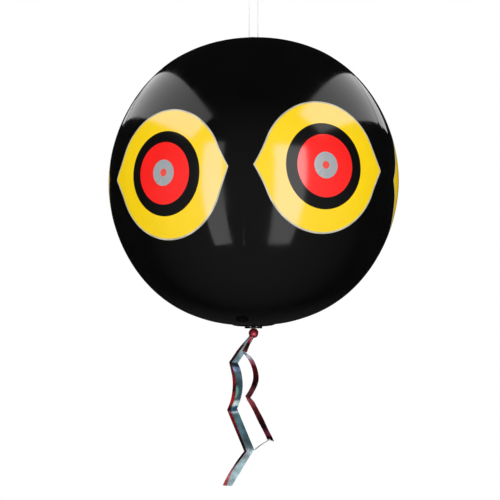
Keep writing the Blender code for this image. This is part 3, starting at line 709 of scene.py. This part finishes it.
def add_eye(index, inks):
    """One eye from its middle outwards, in rows of faces that end at the rings' edges."""
    aside, elevation, tilt, print_off, corners_up = EYE_PLACES[index]
    azimuth = FRONT_SEAM_AZIMUTH + (index - 0.5) * GORE_PITCH + math.radians(aside)
    centre = direction(azimuth, math.radians(elevation))
    east = Vector((0, 0, 1)).cross(centre).normalized()
    north = centre.cross(east)
    total = sum(EYE_ROWS)

    def place(u, v):
        bearing, row = eye_bearing(u), round(v * total)
        edges, start, ring = ring_edges(bearing), 0.0, 0
        while row > EYE_ROWS[ring]:
            row -= EYE_ROWS[ring]
            start = edges[ring]
            ring += 1
        reach = start + (edges[ring] - start) * row / EYE_ROWS[ring]
        share = min(1.0, reach / EYE_BODY)
        off = 1 - SHIFT_LOST_AT_BODY * share
        off *= max(0.0, 1 - max(0.0, reach - SHIFT_FADES_FROM) / SHIFT_FADES_OVER)
        left_up, right_up = corners_up
        corners_turn = corner_turn(bearing, right_up) - corner_turn(bearing - math.pi, left_up)
        turned = bearing + math.radians(tilt + corners_turn)
        spot = east * (reach * math.cos(turned) + off * print_off[0])
        spot += north * (reach * math.sin(turned) + off * print_off[1])
        arc = spot.length / BALL_RADIUS
        way = centre * math.cos(arc) + (spot.normalized() * math.sin(arc) if arc > 1e-9 else Vector())
        return on_ball(way, EYE_LIFT)

    eye = add_grid(f"eye_{index + 1}_print", EYE_SIDES, total, place)
    for ink in inks:
        eye.data.materials.append(ink)
    row_inks = [ink for ink, rows in zip(EYE_INKS, EYE_ROWS) for _ in range(rows)]
    print_rows = [row_inks[min(total - 1, k // EYE_SIDES)] for k in range(len(eye.data.polygons))]
    eye.data.polygons.foreach_set("material_index", print_rows)
    in_edit_mode(eye, lambda: bpy.ops.mesh.remove_doubles(threshold=2e-6))
    finish_with(eye, "SOLIDIFY", thickness=EYE_THICKNESS, offset=1)
    smooth_under(eye, 40)
    return eye


def add_print(name, hex_colour, roughness, mottle, **sockets):
    """Printed foil: ink over metallised film, whose bright grain, about 0.5 mm, shows through as a mottle."""
    made, tree, shader = new_material(name, hex_colour, roughness, **sockets)
    grain = add_grain(tree, 1800.0, 2.0)
    both = add_math(tree, "ADD", grain, add_grain(tree, 45.0, 3.0))
    value = add_range(tree, both, 0.7, 1.3, 1 - mottle, 1 + mottle)
    ink = add_node(tree, "ShaderNodeHueSaturation", {"Value": value, "Color": linear(hex_colour)})
    tree.links.new(ink.outputs["Color"], shader.inputs["Base Color"])
    add_bump(tree, shader, grain, 0.3, 0.00003)
    return made


# Inks over the foil: flat bright colours with a strong gloss, since the metal film lies right under them. The
# yellow takes most of the red and green out of its gloss, so that a light whitens it but doesn't burn it out.
COOL_GLOSS = (0.3, 0.35, 1.0, 1.0)
yellow_ink = add_print("yellow ink on foil", "#fbd400", 0.13, 0.03, ior=2.4, specular_tint=COOL_GLOSS)
black_ink = add_print("black ink on foil", "#0b0b0b", 0.13, 0.1, ior=1.6)
red_ink = add_print("red ink on foil", "#f81c18", 0.13, 0.04, ior=2.3)
pale_red_ink = add_print("pale red ink on foil", "#f04a40", 0.13, 0.04, ior=2.3)

# Bare foil: silver with a fine radial grating that splits the light into faint blue, green and rose rays, a
# few degrees wide, round the ring
bare_foil, tree, shader = new_material("bare holographic foil", "#ccd4d8", 0.29, metallic=0.57)
uv = add_node(tree, "ShaderNodeUVMap").outputs["UV"]
round_ring = add_node(tree, "ShaderNodeSeparateXYZ", {"Vector": uv}).outputs["X"]
rays = add_node(
    tree, "ShaderNodeTexNoise", {"W": round_ring, "Scale": 22.0, "Detail": 1.0}, noise_dimensions="1D"
)
tint = add_ramp(
    tree,
    rays.outputs["Fac"],
    ((0.3, "#c2d2dc"), (0.42, "#ccd8d8"), (0.52, "#d2d8de"), (0.6, "#cfcfdb"), (0.7, "#e0d8d4")),
)
tree.links.new(tint, shader.inputs["Base Color"])

# The outline is the same bare foil in a strip too narrow for its grating to show
outline_foil, tree, shader = new_material("bare foil outline", "#bdb9a7", 0.35, metallic=0.2)
tint = add_ramp(tree, add_grain(tree, 60.0, 3.0), ((0.35, "#a9a897"), (0.65, "#cfcab6")))
tree.links.new(tint, shader.inputs["Base Color"])

inks = [yellow_ink, bare_foil, black_ink, red_ink, outline_foil, pale_red_ink]
for index in range(GORE_COUNT):
    eye = add_eye(index, inks)
    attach(eye, "ball")
    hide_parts(f"eye_{index + 1}")


# Inflation valve, low on the front left of the middle. A flange with a neck is welded in a hole in the gore,
# and a stem slides in the neck and carries a plug on a tether outside and a non-return flap inside. All are
# moulded in soft PVC.
VALVE_AZIMUTH = math.radians(-9.8)
VALVE_ELEVATION = math.radians(-64.2)
FLANGE_RADIUS = 0.0085
FLANGE_THICKNESS = 0.0006
NECK_RADIUS = 0.0062
NECK_WALL = 0.0008
NECK_LENGTH = 0.012
COLLAR_RADIUS = 0.00725
COLLAR_THICKNESS = 0.0006
BORE_RADIUS = 0.0026
PLUG_CAP_RADIUS = 0.0046
PLUG_CAP_THICKNESS = 0.001
PLUG_PIN_LENGTH = 0.006
PLUG_LUG_LENGTH = 0.0026
PLUG_LUG_WIDTH = 0.0028
TETHER_WIDTH = 0.0009
TETHER_THICKNESS = 0.0006
FLAP_THICKNESS = 0.0004
VALVE_SIDES = 96
VALVE_ROUNDING = 0.00012

valve_foot = on_ball(direction(VALVE_AZIMUTH, VALVE_ELEVATION), 0.0)
valve_above = on_ball(direction(VALVE_AZIMUTH, VALVE_ELEVATION + 0.001), 0.0)
valve_aside = on_ball(direction(VALVE_AZIMUTH + 0.001, VALVE_ELEVATION), 0.0)
valve_out = (valve_aside - valve_foot).cross(valve_above - valve_foot).normalized()
valve_east = Vector((0, 0, 1)).cross(valve_out).normalized()
valve_turn = Matrix((valve_east, valve_out.cross(valve_east), valve_out)).transposed().to_4x4()
valve_frame = Matrix.Translation(valve_foot) @ valve_turn


def add_turned(name, profile, closed):
    """A turned piece on the valve's axis from a profile of radius and height, whose end meets its start if
    closed and whose ends lie on the axis if not."""
    stops = [*profile, profile[0]] if closed else profile

    def place(u, v):
        radius, height = stops[round(v * (len(stops) - 1))]
        turn = 2 * math.pi * u
        return valve_frame @ Vector((radius * math.cos(turn), radius * math.sin(turn), height))

    piece = add_grid(name, VALVE_SIDES, len(stops) - 1, place)
    weld(piece)
    return piece


def finish_moulding(piece, body, node, surface):
    """Rounds a moulding's edges, smooths it and puts it in its node's place."""
    round_edges(piece, VALVE_ROUNDING, 2)
    smooth_under(piece, 45)
    piece.data.materials.append(surface)
    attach(piece, body)
    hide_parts(node)


neck_inner = NECK_RADIUS - NECK_WALL
flange_top = FILM_GAP + FLANGE_THICKNESS
neck_end = FILM_GAP - NECK_LENGTH
flange = add_turned(
    "valve_flange_moulded",
    [
        (neck_inner, neck_end),
        (neck_inner, flange_top),
        (NECK_RADIUS + 0.0004, flange_top),
        (NECK_RADIUS + 0.0008, flange_top - 0.00015),
        (FLANGE_RADIUS - 0.0006, flange_top - 0.00015),
        (FLANGE_RADIUS, FILM_GAP + 0.0002),
        (FLANGE_RADIUS, FILM_GAP),
        (NECK_RADIUS, FILM_GAP),
        (NECK_RADIUS, neck_end),
    ],
    closed=True,
)
stem_outer = neck_inner - FILM_GAP
collar_low = flange_top + FILM_GAP
collar_top = collar_low + COLLAR_THICKNESS
stem_end = neck_end - FILM_GAP
stem = add_turned(
    "valve_stem_moulded",
    [
        (BORE_RADIUS, stem_end),
        (BORE_RADIUS, collar_top - 0.0002),
        (BORE_RADIUS + 0.0002, collar_top),
        (COLLAR_RADIUS - 0.0002, collar_top),
        (COLLAR_RADIUS, collar_top - 0.0002),
        (COLLAR_RADIUS, collar_low),
        (stem_outer, collar_low),
        (stem_outer, stem_end),
    ],
    closed=True,
)
cap_low = collar_top + FILM_GAP
cap_top = cap_low + PLUG_CAP_THICKNESS
pin_radius = BORE_RADIUS - FILM_GAP
plug = add_turned(
    "valve_plug_moulded",
    [
        (0, cap_low - PLUG_PIN_LENGTH),
        (pin_radius * 0.8, cap_low - PLUG_PIN_LENGTH),
        (pin_radius * 0.9, cap_low - PLUG_PIN_LENGTH + 0.0006),
        (pin_radius, cap_low),
        (PLUG_CAP_RADIUS, cap_low),
        (PLUG_CAP_RADIUS, cap_top - 0.0003),
        (PLUG_CAP_RADIUS - 0.0003, cap_top),
        (PLUG_CAP_RADIUS * 0.62, cap_top),
        (PLUG_CAP_RADIUS * 0.55, cap_top - 0.0003),
        (0, cap_top - 0.0003),
    ],
    closed=False,
)


def add_lug():
    """The plug's finger lug: a rounded tongue that widens a little towards its end."""
    bpy.ops.mesh.primitive_cube_add(size=1)
    lug = bpy.context.object
    for vertex in lug.data.vertices:
        outer = vertex.co.x > 0
        along = PLUG_CAP_RADIUS + (PLUG_LUG_LENGTH if outer else -0.2 * PLUG_CAP_RADIUS)
        across = vertex.co.y * PLUG_LUG_WIDTH * (1.0 if outer else 0.85)
        height = cap_low + (vertex.co.z + 0.5) * PLUG_CAP_THICKNESS * (0.8 if outer else 0.95)
        vertex.co = valve_frame @ Vector((along, across, height))
    in_edit_mode(lug, lambda: bpy.ops.mesh.subdivide(number_cuts=3))
    return lug


lug = add_lug()
finish_with(plug, "BOOLEAN", object=lug, operation="UNION", solver="EXACT")
bpy.data.objects.remove(lug)

TETHER_FROM = math.radians(50)
TETHER_TO = math.radians(310)


def tether_place(u, v):
    """The plug's tether, a flat band on the collar round the cap: u along it and v round its section."""
    turn = TETHER_FROM + (TETHER_TO - TETHER_FROM) * u
    corner = 2 * math.pi * v
    square = 1 / max(abs(math.cos(corner)), abs(math.sin(corner))) ** 0.6
    radius = PLUG_CAP_RADIUS + FILM_GAP + TETHER_WIDTH / 2 * (1 + 0.98 * math.cos(corner) * square / 1.2)
    height = cap_low + TETHER_THICKNESS / 2 * (1 + 0.98 * math.sin(corner) * square / 1.2)
    return valve_frame @ Vector((radius * math.cos(turn), radius * math.sin(turn), height))


tether = add_grid("plug_tether_moulded", 72, 20, tether_place)
weld(tether)
flap_top = stem_end - FILM_GAP
flap_radius = stem_outer - FILM_GAP
flap = add_turned(
    "valve_flap_moulded",
    [
        (0, flap_top - FLAP_THICKNESS),
        (flap_radius * 0.9, flap_top - FLAP_THICKNESS),
        (flap_radius, flap_top - FLAP_THICKNESS * 0.6),
        (flap_radius, flap_top),
        (0, flap_top),
    ],
    closed=False,
)

# Valve PVC: matt black like the straps' moulding, but softer
valve_vinyl, tree, shader = new_material("dark soft PVC", "#050505", 0.5, specular_ior_level=0.15)
grain = add_grain(tree, 2000.0, 2.0)
tree.links.new(add_range(tree, grain, 0.0, 1.0, 0.42, 0.58), shader.inputs["Roughness"])
add_bump(tree, shader, grain, 0.3, 0.00005)

finish_moulding(flange, "ball", "valve_flange", valve_vinyl)
finish_moulding(stem, "valve_stem", "valve_stem", valve_vinyl)
finish_moulding(plug, "valve_plug", "valve_plug", valve_vinyl)
finish_moulding(tether, "valve_stem", "plug_tether", valve_vinyl)
finish_moulding(flap, "valve_flap", "valve_flap", valve_vinyl)

# The hole that the flange's neck passes through
bpy.ops.mesh.primitive_cylinder_add(vertices=96, radius=NECK_RADIUS + FILM_GAP, depth=0.008)
punch = bpy.context.object
punch.data.transform(valve_frame)
finish_with(gores[0], "BOOLEAN", object=punch, operation="DIFFERENCE", solver="EXACT")
bpy.data.objects.remove(punch)
for index, gore in enumerate(gores):
    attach(gore, "ball")
    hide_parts(f"gore_{index + 1}")


# Ribbon knot. A foil ribbon, red on one face and silver on the other, is gathered, passed round the lower
# strap and drawn into one overhand knot, so that its folds show as flat facets and a pleated turn round them.
RIBBON_WIDTH = 0.020
RIBBON_THICKNESS = 0.00014
FOIL_ROUGHNESS = 0.28
FOIL_METALLIC = 0.4
BUNCH_WIDTH = 0.0065
BUNCH_INNER = 0.0020
BUNCH_OUTER = 0.0027
STRAP_AXIS = Vector((0, 0, -0.4775))
KNOT_CENTRE = Vector((0, 0, -0.48591))
KNOT_RADII = Vector((0.0069, 0.0052, 0.0067))
KNOT_RAISED = Vector((0, 0, 0.0008))
# The knot's painted pink highlight: its middle, the distances over which it fades into painted shade, and how
# uneven its edge is
KNOT_HIGHLIGHT_SPOT = KNOT_CENTRE + Vector((0.0008, -0.0050, 0.0))
KNOT_HIGHLIGHT_REACH = (0.0028, 0.015)
KNOT_HIGHLIGHT_UNEVENNESS = 0.006
WRAP_RADII = (0.0067, 0.0053)
WRAP_WIDTH = 0.0042
WRAP_TURN = Matrix.Rotation(math.radians(-38), 3, "Y")


def add_ribbon_foil(name, tones, **sockets):
    """Metallised ribbon film. Its tone, painted highlights and painted shade that stand in for its
    reflections, runs from its cut end, 0, to the knot, 1, and a painted mottle of light and shade about 12 mm
    across, as from soft dents, shifts it. Faint crinkles lie 3 mm apart."""
    made, tree, shader = new_material(name, tones[0][1], FOIL_ROUGHNESS, metallic=FOIL_METALLIC, **sockets)
    uv = add_node(tree, "ShaderNodeUVMap").outputs["UV"]
    along = add_node(tree, "ShaderNodeSeparateXYZ", {"Vector": uv}).outputs["Y"]
    # Painted light and shade, as from soft dents: a random mottle about 12 mm across that makes the tone
    # darker or lighter
    value = add_range(tree, add_grain(tree, 80.0, 1.0), 0.3, 0.7, 0.6, 1.4)
    inputs = {"Value": value, "Color": add_ramp(tree, along, tones)}
    shade = add_node(tree, "ShaderNodeHueSaturation", inputs)
    tree.links.new(shade.outputs["Color"], shader.inputs["Base Color"])
    add_bump(tree, shader, add_grain(tree, 330.0, 2.0), 0.15, 0.0002)
    return made


def add_painted_highlight_patch(foil, middle, half_size, hex_colour):
    """Paints a highlight patch into a ribbon foil's colour, given its middle and half size across and along
    the ribbon.
    """
    tree, shader = foil.node_tree, foil.node_tree.nodes["Principled BSDF"]
    uv = add_node(tree, "ShaderNodeUVMap").outputs["UV"]
    from_middle = add_node(tree, "ShaderNodeVectorMath", {0: uv, 1: (*middle, 0.0)}, operation="SUBTRACT")
    shrunk = add_node(
        tree, "ShaderNodeVectorMath", {0: from_middle.outputs[0], 1: (*half_size, 1.0)}, operation="DIVIDE"
    )
    share = add_range(tree, add_measure(tree, "LENGTH", shrunk.outputs[0]), 0.75, 1.15, 1.0, 0.0)
    shade = shader.inputs["Base Color"].links[0].from_socket
    mixed = add_node(tree, "ShaderNodeMix", {0: share, 6: shade, 7: linear(hex_colour)}, data_type="RGBA")
    tree.links.new(mixed.outputs[2], shader.inputs["Base Color"])


# Outer face: red lacquer over the metal, with painted highlights at the three creases and painted shade
# between them, standing in for its reflections.
LEFT_RED_AND_PAINTED_LIGHT = (
    (0.0, "#b44844"),
    (0.07, "#a04852"),
    (0.125, "#8a4450"),
    (0.18, "#34161a"),
    (0.24, "#501820"),
    (0.28, "#1c0a0c"),
    (0.33, "#2c0a10"),
    (0.36, "#540c14"),
    (0.43, "#680e0a"),
    (0.47, "#880a10"),
    (0.487, "#904c52"),
    (0.498, "#380606"),
    (0.51, "#380606"),
    (0.527, "#860c0a"),
    (0.58, "#860c10"),
    (0.6, "#480212"),
    (0.618, "#480212"),
    (0.63, "#740a0a"),
    (0.69, "#540a12"),
    (0.74, "#541820"),
    (0.75, "#241216"),
    (0.8, "#42181c"),
    (0.91, "#4a1c20"),
    (0.94, "#a4a8ba"),
    (1.0, "#b0b8c8"),
)
# The right tail's red face, with its own painted highlights and painted shade along its length
RIGHT_RED_AND_PAINTED_LIGHT = (
    (0.0, "#602024"),
    (0.268, "#2c080e"),
    (0.29, "#80304a"),
    (0.33, "#240c10"),
    (0.38, "#3c1216"),
    (0.43, "#762428"),
    (0.48, "#a84c54"),
    (0.5, "#5a2028"),
    (0.54, "#783840"),
    (0.57, "#260e16"),
    (0.64, "#520e14"),
    (0.675, "#601018"),
    (0.69, "#a45068"),
    (0.703, "#b06878"),
    (0.714, "#ccc8d8"),
    (0.722, "#dce2ee"),
    (0.752, "#dce2ee"),
    (0.758, "#8c463c"),
    (0.8, "#5c2820"),
    (0.88, "#360a02"),
    (0.93, "#d84c5c"),
    (1.0, "#e86070"),
)
left_red = add_ribbon_foil("red lacquered foil with painted reflections", LEFT_RED_AND_PAINTED_LIGHT, specular_ior_level=0.15)
right_red = add_ribbon_foil("red foil of the right tail with painted reflections", RIGHT_RED_AND_PAINTED_LIGHT, specular_ior_level=0.15)

# Inner face: bare metal with a cool cast. Its tones along each tail are painted light and shade that stand in
# for its reflections: on the left tail, painted shade along its two middle stretches and just under the upper
# two creases, thin painted highlights beside the creases, and one painted mint highlight patch.
LEFT_SILVER_AND_PAINTED_LIGHT = (
    (0.0, "#a4bcc6"),
    (0.12, "#9cb8bc"),
    (0.24, "#b0c4cc"),
    (0.265, "#52666e"),
    (0.36, "#40606c"),
    (0.47, "#486870"),
    (0.482, "#b8ccd6"),
    (0.49, "#1c4c66"),
    (0.512, "#1c4c66"),
    (0.52, "#a4bcba"),
    (0.54, "#a4bcba"),
    (0.552, "#385660"),
    (0.7, "#385660"),
    (0.71, "#8aa0c4"),
    (0.726, "#8aa0c4"),
    (0.732, "#2c4556"),
    (0.75, "#2c4556"),
    (0.758, "#90b0ba"),
    (0.88, "#94b4bc"),
    (1.0, "#9c9cb0"),
)
RIGHT_SILVER_AND_PAINTED_LIGHT = (
    (0.0, "#e4e6ee"),
    (0.7, "#d8dce8"),
    (0.76, "#e4e8f4"),
    (1.0, "#b0b4c4"),
)
left_silver = add_ribbon_foil("bare silver foil with painted reflections", LEFT_SILVER_AND_PAINTED_LIGHT)
right_silver = add_ribbon_foil("silver foil of the right tail with painted reflections", RIGHT_SILVER_AND_PAINTED_LIGHT)
add_painted_highlight_patch(left_silver, (0.54, 0.592), (0.2, 0.034), "#7cb4a8")

# The knot is the same red foil, with a painted pink highlight where it stands out most towards the front and
# painted shade further from it
KNOT_PAINTED_LIGHT_TONES = (
    (0.08, "#f07080"),
    (0.17, "#cc3c50"),
    (0.28, "#a81c34"),
    (0.45, "#86161c"),
    (0.62, "#6a3026"),
    (0.85, "#140605"),
)
knot_foil, tree, shader = new_material("red foil with painted highlight and shade", "#8c1424", 0.3, metallic=0.4, coat_weight=0.5)
place_on = add_node(tree, "ShaderNodeTexCoord").outputs["Object"]
crinkle = add_grain(tree, 330.0, 2.0)
from_highlight = add_measure(tree, "DISTANCE", place_on, KNOT_HIGHLIGHT_SPOT)
share = add_range(tree, add_math(tree, "MULTIPLY_ADD", crinkle, KNOT_HIGHLIGHT_UNEVENNESS, from_highlight), *KNOT_HIGHLIGHT_REACH)
tree.links.new(add_ramp(tree, share, KNOT_PAINTED_LIGHT_TONES), shader.inputs["Base Color"])
add_bump(tree, shader, crinkle, 0.25, 0.0002)

# Ways that the knot's facets face, and how far out each lies as a share of the knot's radius
KNOT_FACETS = (
    ((0.0, 0.0, 1.0), 0.88),
    ((0.10, -1.0, 0.25), 0.87),
    ((-0.75, -0.75, 0.10), 0.90),
    ((0.85, -0.60, -0.05), 0.89),
    ((0.05, -0.70, -0.90), 0.90),
    ((-0.60, -0.45, 0.85), 0.90),
    ((0.65, -0.30, 0.85), 0.91),
    ((-1.0, 0.15, -0.35), 0.92),
    ((1.0, 0.25, -0.30), 0.91),
    ((0.55, 0.85, 0.15), 0.87),
    ((-0.50, 0.95, 0.20), 0.87),
    ((0.0, 0.60, -0.90), 0.89),
    ((-0.45, -0.15, -1.0), 0.91),
)


def add_knot_body():
    """The knot's gathered folds, as one lump pressed into flat facets."""
    bpy.ops.mesh.primitive_uv_sphere_add(segments=72, ring_count=48, radius=1)
    body = bpy.context.object
    facets = [(Vector(way).normalized(), reach) for way, reach in KNOT_FACETS]
    for vertex in body.data.vertices:
        spot = vertex.co.copy()
        for way, reach in facets:
            over = spot.dot(way) - reach
            if over > 0:
                spot -= way * over
        vertex.co = KNOT_CENTRE + KNOT_RAISED + Vector(a * b for a, b in zip(spot, KNOT_RADII))
    return body


def pleats(share, count):
    """Height of gathered foil across its width: a row of sharp-edged folds, from 0 to 1."""
    return abs((share * count) % 2 - 1)


def bunch_place(u, v):
    """The gathered turn over the strap: u round the strap's axis and v round the gather's section."""
    turn = 2 * math.pi * u
    if v <= 0.5:
        across, radius = 2 * v, BUNCH_OUTER - 0.0003 * (1 - pleats(2 * v + 0.04 * math.sin(turn), 5))
    else:
        across, radius = 2 - 2 * v, BUNCH_INNER
    half = BUNCH_WIDTH / 2 * (1 - 0.10 * math.cos(turn))
    return STRAP_AXIS + Vector((half * (1 - 2 * across), radius * math.sin(turn), -radius * math.cos(turn)))


def wrap_place(u, v):
    """The turn of ribbon round the knot, aslant from high right to low left: u round it and v round its
    section."""
    turn = 2 * math.pi * u
    across = 2 * v if v <= 0.5 else 2 - 2 * v
    fold = 0.00035 * pleats(across + 0.05 * math.sin(2 * turn), 3) if v <= 0.5 else -0.0002
    reach = 0.0003 * math.cos(turn * 3 + 1)
    width = WRAP_WIDTH * (across - 0.5) * (1 + 0.18 * math.sin(turn + 0.6))
    aside, deep = WRAP_RADII
    ring = Vector(((aside + reach + fold) * math.cos(turn), (deep + fold) * math.sin(turn), width))
    return KNOT_CENTRE + KNOT_RAISED + WRAP_TURN @ ring


ribbon_knot = add_knot_body()
bunch = add_grid("bunch", 80, 44, bunch_place)
wrap = add_grid("wrap", 96, 36, wrap_place)
for part in (bunch, wrap):
    weld(part)
select_only(bunch, wrap, ribbon_knot)
bpy.ops.object.join()
ribbon_knot.name = ribbon_knot.data.name = "ribbon_knot_folded"
smooth_under(ribbon_knot, 24)
ribbon_knot.data.materials.append(knot_foil)
ribbon_knot.visible_glossy = False
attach(ribbon_knot, "ribbon_knot")
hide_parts("ribbon_knot")


# Ribbon tails. The ribbon's two ends hang from the knot. Each is 20 mm wide with an edge folded over by 4 to
# 6 mm: the left one shows its silver face and a red fold, the right one its red face. Both have kept three
# sharp creases.
TAIL_START = 0.0035
TAIL_ROWS = 44
TAIL_COLUMNS = 34
TAIL_OPENS_BY = 0.0267
TAIL_BUNCHED_SHARE = 0.42
FOLD_ROUNDING = 0.0006
TAIL_CLEARANCE = 0.0008
CRUMPLE_DEPTH = 0.0016
CREASE_CRUMPLE_DEPTH = 0.0006
CREASE_REACH = 0.14
GATHER_DEPTH = 0.0016
GATHER_PLEATS = 6

# For either tail: its foil in front and behind; its creases from the knot's middle, right and up; how far
# each stretch bows to the right; how far forward each crease stands; by stretches from the knot, the bearing
# of its face and of its flap seen from above, the tilt of its width, in degrees, the width of its flap in
# millimetres and its rise per depth; and the side of the knot's middle that it keeps to, 1 behind and -1 in
# front
TAILS = (
    (
        "left",
        (left_silver, left_red),
        ((-0.0286, -0.0419), (-0.0303, -0.1054), (-0.0063, -0.1652), (-0.0369, -0.2131)),
        (0.0, 0.007, 0.0, -0.0015),
        (0.0, -0.003, 0.004, -0.002, 0.002),
        ((0, 17), (1, 30), (1.2, 8), (2, 4), (3, 6), (4, 2)),
        ((0, -25), (1, -30), (1.3, -8), (1.55, -20), (1.7, -8), (2, -26), (2.2, -13), (3, -30), (4, -14)),
        ((0, 0), (1, -13), (2, 7), (3, 8), (4, -3)),
        (
            *((0, 4.6), (0.9, 5.0), (1.1, 4.4), (1.35, 5.2), (1.8, 5.6)),
            *((2, 5.2), (3, 5.0), (3.3, 3.9), (3.6, 3.6), (4, 6.4)),
        ),
        ((0, 0), (4, 0)),
        1,
    ),
    (
        "right",
        (right_red, right_silver),
        ((-0.0130, -0.0245), (-0.0078, -0.0866), (0.0233, -0.1478), (0.0024, -0.1632)),
        (0.0, 0.0135, 0.0012, -0.0016),
        (0.0, 0.0, 0.0, 0.0, 0.0),
        (
            *((0, -62), (0.96, -62), (1.0, -70), (1.03, -66), (1.08, -57)),
            *((2, -58), (2.1, -47), (3, -50), (3.05, -95), (4, -95)),
        ),
        ((0, -26), (0.96, -26), (1.0, -75), (1.05, -75), (1.1, -26), (3, -26), (3.05, -84), (4, -84)),
        ((0, 0), (4, 0)),
        ((0, 5.0), (4, 5.0)),
        ((0, 0), (3, 0), (3.05, -0.34), (4, -0.34)),
        -1,
    ),
)


def heading(degrees):
    """Unit vector at a bearing, in degrees from the first axis."""
    return Vector((math.cos(math.radians(degrees)), math.sin(math.radians(degrees))))


def between(stops, at):
    """The value at a place among stops of place and value, in a straight line between two of them."""
    low = max(k for k in range(len(stops) - 1) if stops[k][0] <= at)
    (start, first), (end, last) = stops[low], stops[low + 1]
    return first + (last - first) * (at - start) / (end - start)


def add_tail(side_name, foils, creases, bows, forwards, faces, flaps, tilts, flap_widths, rises, side):
    """One tail as a single sheet of foil: u from the flap's free edge round the fold to the other edge."""
    start = Vector(creases[0]).normalized() * TAIL_START
    stops = [start] + [Vector(crease) for crease in creases]
    square = Vector((-start.y, start.x)).normalized()
    rows = 4 * TAIL_ROWS
    seed = 7.0 * side

    def place(u, v):
        at = 4 * (1 - v)
        stretch = min(3, int(at))
        share = at - stretch
        spine = stops[stretch].lerp(stops[stretch + 1], share)
        spine.x += bows[stretch] * 4 * share * (1 - share)
        opened = min(1.0, (spine - start).length / TAIL_OPENS_BY)
        width = TAIL_BUNCHED_SHARE + (1 - TAIL_BUNCHED_SHARE) * opened
        face, flap = heading(between(faces, at)), heading(between(flaps, at))
        flap_reach = between(flap_widths, at) / 1000 * width
        face_reach = RIBBON_WIDTH * width - flap_reach
        along = u * RIBBON_WIDTH * width - flap_reach
        near = math.sqrt(along * along + FOLD_ROUNDING * FOLD_ROUNDING)
        section = face * (near + along) / 2 + flap * (near - along) / 2
        inward = max(0.0, -side * face.y * face_reach, -side * flap.y * flap_reach)
        section += Vector((-face.x * face_reach / 2, side * (inward + TAIL_CLEARANCE)))
        level = square.lerp(heading(between(tilts, at)), opened).normalized()
        depth = section.y - between(list(enumerate(forwards)), at) * (opened if at < 1 else 1)
        spot = spine + level * section.x
        from_crease = min(share, 1 - share) if at > 0.5 else share
        creased = CREASE_CRUMPLE_DEPTH * math.exp(-((from_crease / CREASE_REACH) ** 2))
        crumple = CRUMPLE_DEPTH * noise.noise(Vector((along * 60, spine.y * 45, seed)))
        crumple += creased * abs(noise.noise(Vector((along * 230, spine.y * 200, seed + 3))))
        gather = GATHER_DEPTH * (pleats(u, GATHER_PLEATS) - 0.5) * (1 - opened)
        normal = Vector((face.y, -face.x)) * (crumple * opened + gather)
        spot = spot + level * normal.x
        return KNOT_CENTRE + Vector((spot.x, depth + normal.y, spot.y + between(rises, at) * depth))

    tail = add_grid(f"ribbon_tail_{side_name}_foil", TAIL_COLUMNS, rows, place)
    for foil in foils:
        tail.data.materials.append(foil)
    finish_with(
        tail, "SOLIDIFY", thickness=RIBBON_THICKNESS, offset=0, material_offset=1, material_offset_rim=1
    )
    smooth_under(tail, 28)
    tail.visible_glossy = False
    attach(tail, f"tail_{side_name}")
    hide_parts(f"ribbon_tail_{side_name}")


for tail_values in TAILS:
    add_tail(*tail_values)
